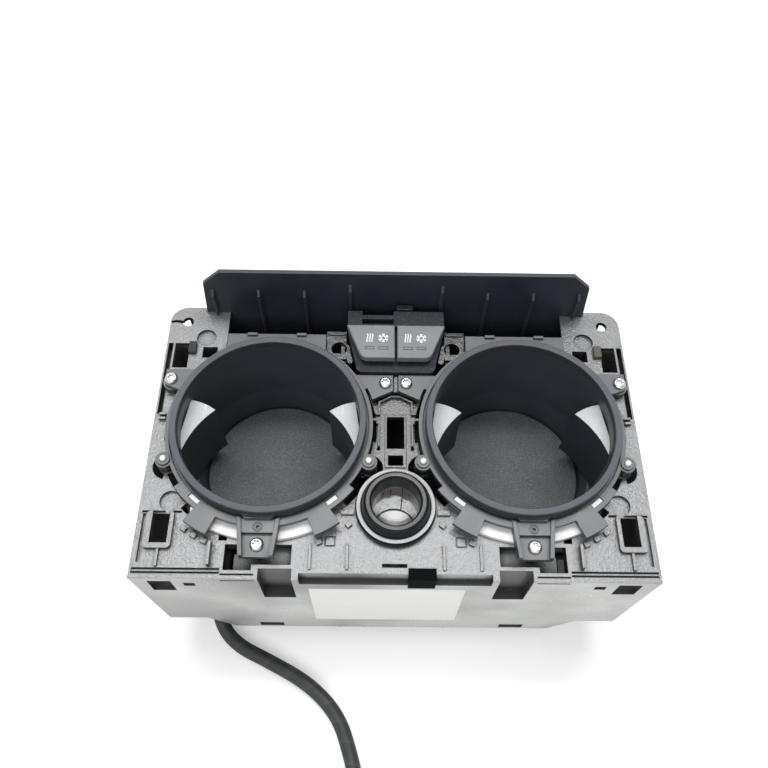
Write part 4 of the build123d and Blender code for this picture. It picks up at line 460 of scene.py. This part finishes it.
def moulded(name, colour, roughness, grain=1400.0, patches=60.0, depth=0.00012, strength=0.35, mottle=0.18,
            speckle=0.25, fleck=1.9, scuffs=0.25, edge=0.0005, specular=0.5, corner_shade=0.0, edge_highlight=0.0, bands=(),
            walls=None, painted_light=None):
    """Moulded plastic or rubber: grain, mottled colour, scuffs, painted shade in corners, softened edges with
    painted highlights.

    Each band gives the upper faces between two heights their own colour and roughness, or all faces there
    if ANY_FACE follows. Walls gives the colour of the outer walls, a painted reflection, and half the width
    and depth at which they begin. The painted light gives how bright the piece is in its middle and at its
    front and ends.
    """
    material, tree, shader, coordinates = blank_material(name)
    grains = place_grain(tree, coordinates, grain, patches)
    marks = place_group(tree, scuff_group(), coordinates, {"Amount": scuffs})
    tint = colour
    rough = maths(tree, "ADD", maths(tree, "MULTIPLY", grains.outputs["Mottle"], 0.12), roughness - 0.06)
    rough = maths(tree, "ADD", rough, maths(tree, "MULTIPLY", marks.outputs["Mask"], 0.2))
    flecks = grains.outputs["Speckle"]
    # Painted reflection on the outer walls, with fewer flecks
    if walls is not None:
        outer = outer_faces(tree, coordinates, *walls[1:])
        tint = blend_colours(tree, outer, tint, painted_wall_reflection(tree, coordinates, walls[0]))
        kept = maths(tree, "SUBTRACT", 1.0, maths(tree, "MULTIPLY", outer, 0.8))
        flecks = maths(tree, "MULTIPLY", flecks, kept)
    for low, high, paint, dull, *least in bands:
        mask = upper_faces(tree, coordinates, low, high, *least)
        tint = blend_colours(tree, mask, tint, paint)
        rough = maths(tree, "ADD", rough, maths(tree, "MULTIPLY", mask, dull - roughness))
    share = maths(tree, "ADD", maths(tree, "MULTIPLY", grains.outputs["Mottle"], 2 * mottle), 1 - mottle)
    bright = maths(tree, "MULTIPLY", flecks, speckle * (fleck - 1))
    bright = maths(tree, "ADD", bright, maths(tree, "MULTIPLY", marks.outputs["Mask"], 1.6))
    share = maths(tree, "MULTIPLY", share, maths(tree, "ADD", bright, 1.0))
    # Painted light: darker in the middle, lighter at the front and the ends
    if painted_light is not None:
        share = maths(tree, "MULTIPLY", share, towards_edges(tree, coordinates, *painted_light))
    soft = soft_edges(tree, edge)
    # Painted highlights on the edges
    if edge_highlight > 0:
        tint = blend_colours(tree, maths(tree, "MULTIPLY", highlighted_edges(tree, soft), edge_highlight), tint, EDGE_HIGHLIGHT_COLOUR)
    # Painted shade in the corners
    if corner_shade > 0:
        share = maths(tree, "MULTIPLY", share, painted_corner_shade(tree, corner_shade))
    tree.links.new(scaled(tree, tint, share), shader.inputs["Base Color"])
    tree.links.new(rough, shader.inputs["Roughness"])
    shader.inputs["Specular IOR Level"].default_value = specular
    add_bump(tree, shader, grains.outputs["Height"], strength, depth, soft)
    return material


def plated(name, colour, roughness, grain=2500.0, strength=0.1, edge=0.0003, metallic=1.0, mouth=None):
    """Bare or plated metal with slight stains and fine unevenness, perhaps with a dark painted shade and
    reflection above a height.
    """
    material, tree, shader, coordinates = blank_material(name)
    grains = place_grain(tree, coordinates, grain, 220.0)
    base = blend_colours(tree, grains.outputs["Mottle"], shaded(colour, 0.82), colour)
    # Dark painted shade and reflection above the mouth's height
    if mouth is not None:
        wavy = maths(tree, "MULTIPLY", grains.outputs["Mottle"], 0.004)
        height = maths(tree, "ADD", parts_of(tree, coordinates)[2], wavy)
        base = blend_colours(tree, smooth_steps(tree, height, mouth[0], mouth[0] + 0.003), base, mouth[1])
    tree.links.new(base, shader.inputs["Base Color"])
    rough = maths(tree, "ADD", maths(tree, "MULTIPLY", grains.outputs["Mottle"], 0.14), roughness - 0.07)
    tree.links.new(rough, shader.inputs["Roughness"])
    shader.inputs["Metallic"].default_value = metallic
    add_bump(tree, shader, grains.outputs["Height"], strength, 0.00005, soft_edges(tree, edge))
    return material


def taped(name, colour):
    """Woven tape wound round the cable in overlapping turns."""
    material, tree, shader, coordinates = blank_material(name)
    grains = place_grain(tree, coordinates, 2600.0, 120.0)
    along = parts_of(tree, new_node(tree, "ShaderNodeTexCoord").outputs["UV"])
    turns = maths(tree, "ADD", maths(tree, "MULTIPLY", along[0], TAPE_TURNS), along[1])
    lap = maths(tree, "FRACT", turns, 0.0)
    weave = maths(tree, "MULTIPLY", grains.outputs["Height"], 0.35)
    base = blend_colours(tree, grains.outputs["Mottle"], shaded(colour, 0.7), shaded(colour, 1.5))
    base = blend_colours(tree, maths(tree, "POWER", lap, 6.0), base, shaded(colour, 2.6))
    tree.links.new(base, shader.inputs["Base Color"])
    rough = maths(tree, "ADD", maths(tree, "MULTIPLY", grains.outputs["Mottle"], 0.15), 0.5)
    tree.links.new(rough, shader.inputs["Roughness"])
    add_bump(tree, shader, maths(tree, "ADD", lap, weave), 0.6, 0.0004)
    return material


def dress(material, *names):
    """Gives CAD nodes a material."""
    for name in names:
        slots = NODES[name].material_slots
        if not slots:
            NODES[name].data.materials.append(material)
        for place in slots:
            place.material = material


def both_sides(name):
    """The left and the right node of that name."""
    return "left_" + name, "right_" + name


def keep_mesh(work, name, material):
    """Turns a bmesh into an object of the scene."""
    bmesh.ops.recalc_face_normals(work, faces=work.faces)
    mesh = bpy.data.meshes.new(name)
    work.to_mesh(mesh)
    work.free()
    mesh.materials.append(material)
    piece = bpy.data.objects.new(name, mesh)
    bpy.context.scene.collection.objects.link(piece)
    return piece


def plate(work, width, length, place, turn=0.0, bend=0.0, height=0.0):
    """A thin flat stroke, straight or waved, laid on a button."""
    made = bmesh.ops.create_grid(work, x_segments=1, y_segments=12, size=0.5)
    points = made["verts"]
    bmesh.ops.scale(work, vec=(width, length, 1.0), verts=points)
    for point in points:
        point.co.x += bend * math.sin(point.co.y / length * 2 * math.pi)
    bmesh.ops.rotate(work, cent=(0, 0, 0), matrix=Matrix.Rotation(turn, 3, "Z"), verts=points)
    bmesh.ops.translate(work, vec=place, verts=points)
    faces = list({face for point in points for face in point.link_faces})
    raised = bmesh.ops.extrude_face_region(work, geom=faces)["geom"]
    tops = [item for item in raised if isinstance(item, bmesh.types.BMVert)]
    bmesh.ops.translate(work, vec=(0, 0, height), verts=tops)
    return tops


def loop(work, radius, level, place, lobe=0.0):
    """A closed ring of edges, round or six-lobed."""
    made = bmesh.ops.create_circle(work, cap_ends=False, segments=60, radius=radius)
    points = made["verts"]
    for point in points:
        swell = 1.0 + lobe * math.cos(6 * math.atan2(point.co.y, point.co.x))
        point.co.x *= swell
        point.co.y *= swell
    bmesh.ops.translate(work, vec=(place[0], place[1], level), verts=points)
    return list({edge for point in points for edge in point.link_edges})


def rays_to_eye(tree):
    """Mask of the rays by which the camera sees a surface, also in a reflection."""
    rays = new_node(tree, "ShaderNodeLightPath")
    seen = maths(tree, "MAXIMUM", rays.outputs["Is Camera Ray"], rays.outputs["Is Glossy Ray"])
    return maths(tree, "MAXIMUM", seen, rays.outputs["Is Transmission Ray"])


def settings():
    """Colours, sizes and stage of the scene."""
    scene = bpy.context.scene
    return scene.cup_holder_colours, scene.cup_holder_sizes, scene.cup_holder_stage


class CUPHOLDER_OT_stage(bpy.types.Operator):
    """Pale floor, soft light and the camera"""

    bl_idname = "cup_holder.stage"
    bl_label = "Stage"

    def execute(self, context):
        stage = settings()[2]
        self.make_camera(context.scene, stage)
        self.make_floor(stage.floor)
        self.make_world(context.scene)
        for lamp in LAMPS:
            self.add_lamp(*lamp)
        context.scene.view_settings.view_transform = "Standard"
        return {"FINISHED"}

    def make_camera(self, scene, stage):
        turn = Matrix.Rotation(stage.yaw, 3, "Z")
        right = turn @ Vector((1, 0, 0))
        ahead = turn @ Vector((0, math.cos(stage.pitch), -math.sin(stage.pitch)))
        above = turn @ Vector((0, math.sin(stage.pitch), math.cos(stage.pitch)))
        tilt_c, tilt_s = math.cos(stage.roll), math.sin(stage.roll)
        side = right * tilt_c + above * tilt_s
        up = above * tilt_c - right * tilt_s
        data = bpy.data.cameras.new("Camera")
        data.lens = stage.lens
        data.sensor_width = 36.0
        data.clip_start = 0.01
        camera = bpy.data.objects.new("Camera", data)
        turned = Matrix((side, up, -ahead)).transposed().to_4x4()
        camera.matrix_world = Matrix.Translation(stage.camera) @ turned
        scene.collection.objects.link(camera)
        scene.camera = camera

    def make_floor(self, half):
        material = bpy.data.materials.new("White_table")
        material.use_nodes = True
        tree = material.node_tree
        shader = tree.nodes["Principled BSDF"]
        shader.inputs["Base Color"].default_value = (0.86, 0.86, 0.855, 1.0)
        shader.inputs["Roughness"].default_value = 0.65
        shader.inputs["Emission Color"].default_value = (1.0, 1.0, 1.0, 1.0)
        seen = rays_to_eye(tree)
        tree.links.new(maths(tree, "MULTIPLY", seen, 0.34), shader.inputs["Emission Strength"])
        work = bmesh.new()
        bmesh.ops.create_grid(work, x_segments=1, y_segments=1, size=half)
        keep_mesh(work, "Table", material)

    def make_world(self, scene):
        world = bpy.data.worlds.new("Studio")
        world.use_nodes = True
        tree = world.node_tree
        sky = tree.nodes["Background"]
        seen = rays_to_eye(tree)
        strength = maths(tree, "ADD", maths(tree, "MULTIPLY", seen, 0.8), 0.2)
        sky.inputs["Color"].default_value = (0.97, 0.985, 1.0, 1.0)
        tree.links.new(strength, sky.inputs["Strength"])
        scene.world = world

    def add_lamp(self, name, place, target, size, power, kind):
        data = bpy.data.lights.new(name, kind)
        data.energy = power
        if kind == "AREA":
            data.shape = "RECTANGLE"
            data.size, data.size_y = size
        else:
            data.spot_size = math.radians(size[0])
            data.spot_blend = size[1]
            data.shadow_soft_size = 0.004
        lamp = bpy.data.objects.new(name, data)
        lamp.location = place
        lamp.rotation_euler = (Vector(target) - Vector(place)).to_track_quat("-Z", "Y").to_euler()
        bpy.context.scene.collection.objects.link(lamp)


class CUPHOLDER_OT_cable(bpy.types.Operator):
    """The taped cable with its grommet and connector"""

    bl_idname = "cup_holder.cable"
    bl_label = "Cable"

    def execute(self, context):
        colours, sizes, _ = settings()
        curve = bpy.data.curves.new("Taped_cable", "CURVE")
        curve.dimensions = "3D"
        line = curve.splines.new("NURBS")
        line.points.add(len(CABLE_ROUTE) - 1)
        for point, place in zip(line.points, CABLE_ROUTE):
            point.co = (*place, 1.0)
        line.order_u = 3
        line.use_endpoint_u = True
        line.resolution_u = 10
        curve.bevel_depth = sizes.cable / 2
        curve.bevel_resolution = 6
        curve.use_fill_caps = True
        curve.materials.append(taped("Cable_tape", colours.tape))
        cable = bpy.data.objects.new("Taped_cable", curve)
        context.scene.collection.objects.link(cable)
        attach(cable, "carrier")
        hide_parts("cable")
        dress(moulded("Connector_shell", (0.07, 0.071, 0.074), 0.45), "cable_connector")
        dress(moulded("Grommet_rubber", (0.015, 0.015, 0.016), 0.6, grain=900.0), "cable_grommet")
        return {"FINISHED"}


class CUPHOLDER_OT_carrier(bpy.types.Operator):
    """Finishes of the carrier, the rear panel, the lower housing and the small trim"""

    bl_idname = "cup_holder.carrier"
    bl_label = "Carrier"

    def execute(self, context):
        colours = settings()[0]
        # Below the deck only a rougher finish; painted sheen on the well floors and the deck's upper faces
        bands = [(*BELOW_DECK, colours.carrier, 0.85), (*WELL_FLOORS, colours.carrier_well_sheen, 0.4),
                 (*DECK_FACES, colours.carrier_top_sheen, 0.3)]
        # Painted reflection of the table on the carrier's outer walls
        walls = (colours.carrier_wall_reflection, *CARRIER_WALLS)
        # Painted light over the carrier, lighter at its front and ends, with painted shade in its corners and
        # painted highlights on its edges
        carrier = moulded("Carrier_plastic", colours.carrier, 0.4, grain=1150.0, patches=30.0, depth=0.0003,
                          strength=0.6, mottle=0.25, speckle=0.6, fleck=1.8, scuffs=0.3, specular=0.9,
                          corner_shade=0.85, edge_highlight=0.5, bands=bands, walls=walls, painted_light=(0.25, 1.15))
        dress(carrier, "carrier_frame")
        # Painted highlights on the panel's edges
        panel = moulded("Panel_plastic", colours.panel, 0.5, grain=1800.0, strength=0.2, scuffs=0.15,
                        edge_highlight=0.3)
        dress(panel, "rear_panel")
        dress(moulded("Housing_plastic", colours.housing, 0.5), "lower_housing")
        dress(moulded("Clip_plastic", (0.004, 0.005, 0.006), 0.95, specular=0.06), "front_clip")
        paper = moulded("Label_paper", colours.label, 0.55, mottle=0.03, speckle=0.02, scuffs=0.05,
                        strength=0.05)
        dress(paper, "front_label")
        felt = {"grain": 2200.0, "strength": 0.9, "depth": 0.0004}
        dress(moulded("Grey_felt", (0.04, 0.041, 0.045), 0.9, **felt), "left_felt_pad")
        dress(moulded("Brown_felt", (0.12, 0.11, 0.085), 0.9, **felt), "right_felt_pad")
        zinc = plated("Zinc", colours.zinc, 0.36)
        dress(zinc, "cup_screws", "housing_screws", "panel_screws", "flap_pins", "flap_springs")
        nylon = moulded("Nylon", colours.nylon, 0.35, mottle=0.06, speckle=0.05)
        dress(nylon, "locating_pins", "socket_contact")
        return {"FINISHED"}


class CUPHOLDER_OT_cups(bpy.types.Operator):
    """Finishes of the cups, their pads, insulation and grip flaps"""

    bl_idname = "cup_holder.cups"
    bl_label = "Cups"

    def execute(self, context):
        colours = settings()[0]
        # Painted sheen on the flange tops and arms, painted shade on the rim sides, and lighter rim tops as
        # painted sheen
        bands = [(*FLANGE_TOPS, colours.cup_top_sheen, 0.42), (*RIM_SIDES, shaded(colours.cup, 0.2), 0.8, ANY_FACE),
                 (*RIM_TOPS, shaded(colours.cup, 1.2), 0.6)]
        # Painted shade in the cups' corners and painted highlights on their edges
        cup = moulded("Cup_plastic", colours.cup, 0.42, grain=1800.0, strength=0.3, mottle=0.12, specular=0.7,
                      corner_shade=0.6, edge_highlight=0.35, bands=bands)
        dress(cup, *both_sides("cup"))
        # The flaps take the cups' colour made darker, as painted shade, and painted sheen on their tops
        flap = moulded("Flap_plastic", shaded(colours.cup, 0.8), 0.5, grain=1800.0, strength=0.2, mottle=0.1,
                       specular=0.3, bands=[(*FLAP_TOPS, colours.flap_top_sheen, 0.4)])
        dress(flap, *both_sides("outer_flap"), *both_sides("inner_flap"))
        pad = moulded("Pad_rubber", colours.pad, 0.5, grain=2100.0, strength=0.8, depth=0.0004, speckle=0.8,
                      fleck=4.0)
        dress(pad, *both_sides("floor_pad"))
        foam = moulded("White_foam", colours.foam, 0.85, grain=1500.0, mottle=0.03, speckle=0.03, scuffs=0.02)
        dress(foam, *both_sides("insulation"))
        return {"FINISHED"}


class CUPHOLDER_OT_screws(bpy.types.Operator):
    """The six bright six-lobe screws of the cups"""

    bl_idname = "cup_holder.screws"
    bl_label = "Screws"

    def execute(self, context):
        colours, sizes, _ = settings()
        work = bmesh.new()
        for x, y, seat in SCREW_PLACES:
            for side in (-1, 1):
                self.add_head(work, (side * x, y), seat, sizes.screw_head / 2, sizes.screw_rise)
        screws = keep_mesh(work, "Cup_screw_heads", plated("Bright_zinc", colours.zinc, 0.3, strength=0.15))
        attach(screws, "carrier")
        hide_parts("cup_screws")
        return {"FINISHED"}

    def add_head(self, work, place, seat, radius, rise):
        rings = [
            loop(work, radius * share, seat + rise * height - drop, place, lobe)
            for share, height, drop, lobe in SCREW_OUTLINE
        ]
        for lower, upper in zip(rings, rings[1:]):
            bmesh.ops.bridge_loops(work, edges=lower + upper)
        bmesh.ops.contextual_create(work, geom=rings[0])
        bmesh.ops.contextual_create(work, geom=rings[-1])


class CUPHOLDER_OT_switch(bpy.types.Operator):
    """Finishes of the switch, the white signs and the lamp windows of its buttons"""

    bl_idname = "cup_holder.switch"
    bl_label = "Switch"

    def execute(self, context):
        colours, sizes, _ = settings()
        # Painted highlights on the case's edges
        case = moulded("Switch_plastic", colours.switch, 0.6, grain=1100.0, speckle=0.8, fleck=3.5,
                       specular=0.3, edge_highlight=0.15)
        dress(case, "switch_housing")
        caps = moulded("Button_plastic", colours.button, 0.55, grain=2600.0, strength=0.12, scuffs=0.08)
        dress(caps, *both_sides("button"))
        paint = moulded("Sign_paint", colours.sign, 0.5, grain=3000.0, strength=0.05, mottle=0.03,
                        speckle=0.0, scuffs=0.0)
        frame_paint = moulded("Lamp_frame", shaded(colours.button, 0.15), 0.5, grain=3000.0, strength=0.05)
        for side, heat_x, snow_x in SIGN_PLACES:
            work = bmesh.new()
            self.add_waves(work, heat_x, sizes)
            self.add_snowflake(work, snow_x, sizes)
            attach(keep_mesh(work, side + "_signs", paint), side + "_button")
            work = bmesh.new()
            for x in (heat_x, snow_x):
                self.add_window(work, x, sizes.paint)
            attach(keep_mesh(work, side + "_lamp_frames", frame_paint), side + "_button")
        return {"FINISHED"}

    def add_waves(self, work, x, sizes):
        for step in (-1, 0, 1):
            place = (x + step * sizes.stroke * 2.0, SIGN_Y, BUTTON_TOP)
            plate(work, sizes.stroke, sizes.sign, place, 0.0, sizes.stroke * 0.4, sizes.paint)

    def add_snowflake(self, work, x, sizes):
        reach = sizes.sign / 2
        centre = Vector((x, SIGN_Y, BUTTON_TOP))
        for step in range(6):
            angle = step * math.pi / 3 + math.pi / 6
            way = Vector((math.cos(angle), math.sin(angle), 0.0))
            turn = angle - math.pi / 2
            plate(work, sizes.stroke, reach * 0.62, centre + way * reach * 0.69, turn, 0.0, sizes.paint)
            plate(work, reach * 0.62, sizes.stroke, centre + way * reach * 0.84, turn, 0.0, sizes.paint * 0.9)
            across = angle + math.pi / 6
            middle = centre + Vector((math.cos(across), math.sin(across), 0.0)) * reach * 0.46
            plate(work, sizes.stroke, reach * 0.55, middle, across, 0.0, sizes.paint * 0.95)

    def add_window(self, work, x, paint):
        points = bmesh.ops.create_grid(work, x_segments=1, y_segments=1, size=0.5)["verts"]
        bmesh.ops.scale(work, vec=(*LAMP_WINDOW, 1.0), verts=points)
        bmesh.ops.translate(work, vec=(x, LAMP_Y, BUTTON_TOP), verts=points)
        inner = points[0].link_faces[0]
        inset = bmesh.ops.inset_region(work, faces=[inner], use_boundary=True, use_even_offset=True,
                                       thickness=LAMP_STROKE)
        frame_faces = inset["faces"]
        bmesh.ops.delete(work, geom=[inner], context="FACES")
        raised = bmesh.ops.extrude_face_region(work, geom=frame_faces)["geom"]
        tops = [item for item in raised if isinstance(item, bmesh.types.BMVert)]
        bmesh.ops.translate(work, vec=(0, 0, paint), verts=tops)


class CUPHOLDER_OT_socket(bpy.types.Operator):
    """Finishes of the power socket"""

    bl_idname = "cup_holder.socket"
    bl_label = "Socket"

    def execute(self, context):
        colours = settings()[0]
        edge = colours.collar_highlight
        # Painted highlights: a pale ring and a lighter top on the black collar
        bands = [(*COLLAR_RING, edge, 0.25), (*COLLAR_TOP, shaded(edge, 0.25), 0.3)]
        collar = moulded("Socket_plastic", colours.socket, 0.35, strength=0.05, scuffs=0.1, specular=0.15,
                         bands=bands)
        dress(collar, "socket_collar")
        # Dark brown painted shade and reflection of the collar in the upper barrel
        mouth = (SOCKET_MOUTH, colours.mouth_shade)
        lining = plated("Satin_steel", colours.steel, 0.3, metallic=0.25, mouth=mouth)
        dress(lining, "socket_barrel")
        return {"FINISHED"}


class CUPHOLDER_OT_inside(bpy.types.Operator):
    """Finishes of the pieces inside: boards, fans, heat sinks and heat pumps"""

    bl_idname = "cup_holder.inside"
    bl_label = "Inside"

    def execute(self, context):
        dress(moulded("Solder_mask", (0.02, 0.1, 0.045), 0.35), "switch_board", "control_board")
        fans = moulded("Fan_plastic", (0.02, 0.02, 0.021), 0.45)
        dress(fans, *both_sides("fan_frame"), *both_sides("fan_wheel"))
        ceramic = moulded("Ceramic", (0.78, 0.78, 0.76), 0.5, mottle=0.04, speckle=0.05)
        dress(ceramic, *both_sides("thermo_module"))
        dress(plated("Extruded_aluminium", (0.7, 0.71, 0.72), 0.4), *both_sides("heat_sink"))
        return {"FINISHED"}


STEPS = ("stage", "cable", "carrier", "cups", "screws", "switch", "socket", "inside")


class CUPHOLDER_PT_panel(bpy.types.Panel):
    """Lists the steps that dress the cup holder"""

    bl_idname = "CUPHOLDER_PT_panel"
    bl_label = "Cup holder"
    bl_space_type = "VIEW_3D"
    bl_region_type = "UI"
    bl_category = "Cup holder"

    def draw(self, context):
        for step in STEPS:
            self.layout.operator("cup_holder." + step)


CLASSES = (
    CupHolderColours,
    CupHolderSizes,
    CupHolderStage,
    CUPHOLDER_OT_stage,
    CUPHOLDER_OT_cable,
    CUPHOLDER_OT_carrier,
    CUPHOLDER_OT_cups,
    CUPHOLDER_OT_screws,
    CUPHOLDER_OT_switch,
    CUPHOLDER_OT_socket,
    CUPHOLDER_OT_inside,
    CUPHOLDER_PT_panel,
)


def register():
    """Registers the classes and the scene's properties."""
    for item in CLASSES:
        bpy.utils.register_class(item)
    bpy.types.Scene.cup_holder_colours = bpy.props.PointerProperty(type=CupHolderColours)
    bpy.types.Scene.cup_holder_sizes = bpy.props.PointerProperty(type=CupHolderSizes)
    bpy.types.Scene.cup_holder_stage = bpy.props.PointerProperty(type=CupHolderStage)


def unregister():
    """Removes what register added."""
    del bpy.types.Scene.cup_holder_stage
    del bpy.types.Scene.cup_holder_sizes
    del bpy.types.Scene.cup_holder_colours
    for item in reversed(CLASSES):
        bpy.utils.unregister_class(item)


def main():
    """Dresses the whole cup holder."""
    register()
    for step in STEPS:
        getattr(bpy.ops.cup_holder, step)()


if __name__ == "__main__":
    main()
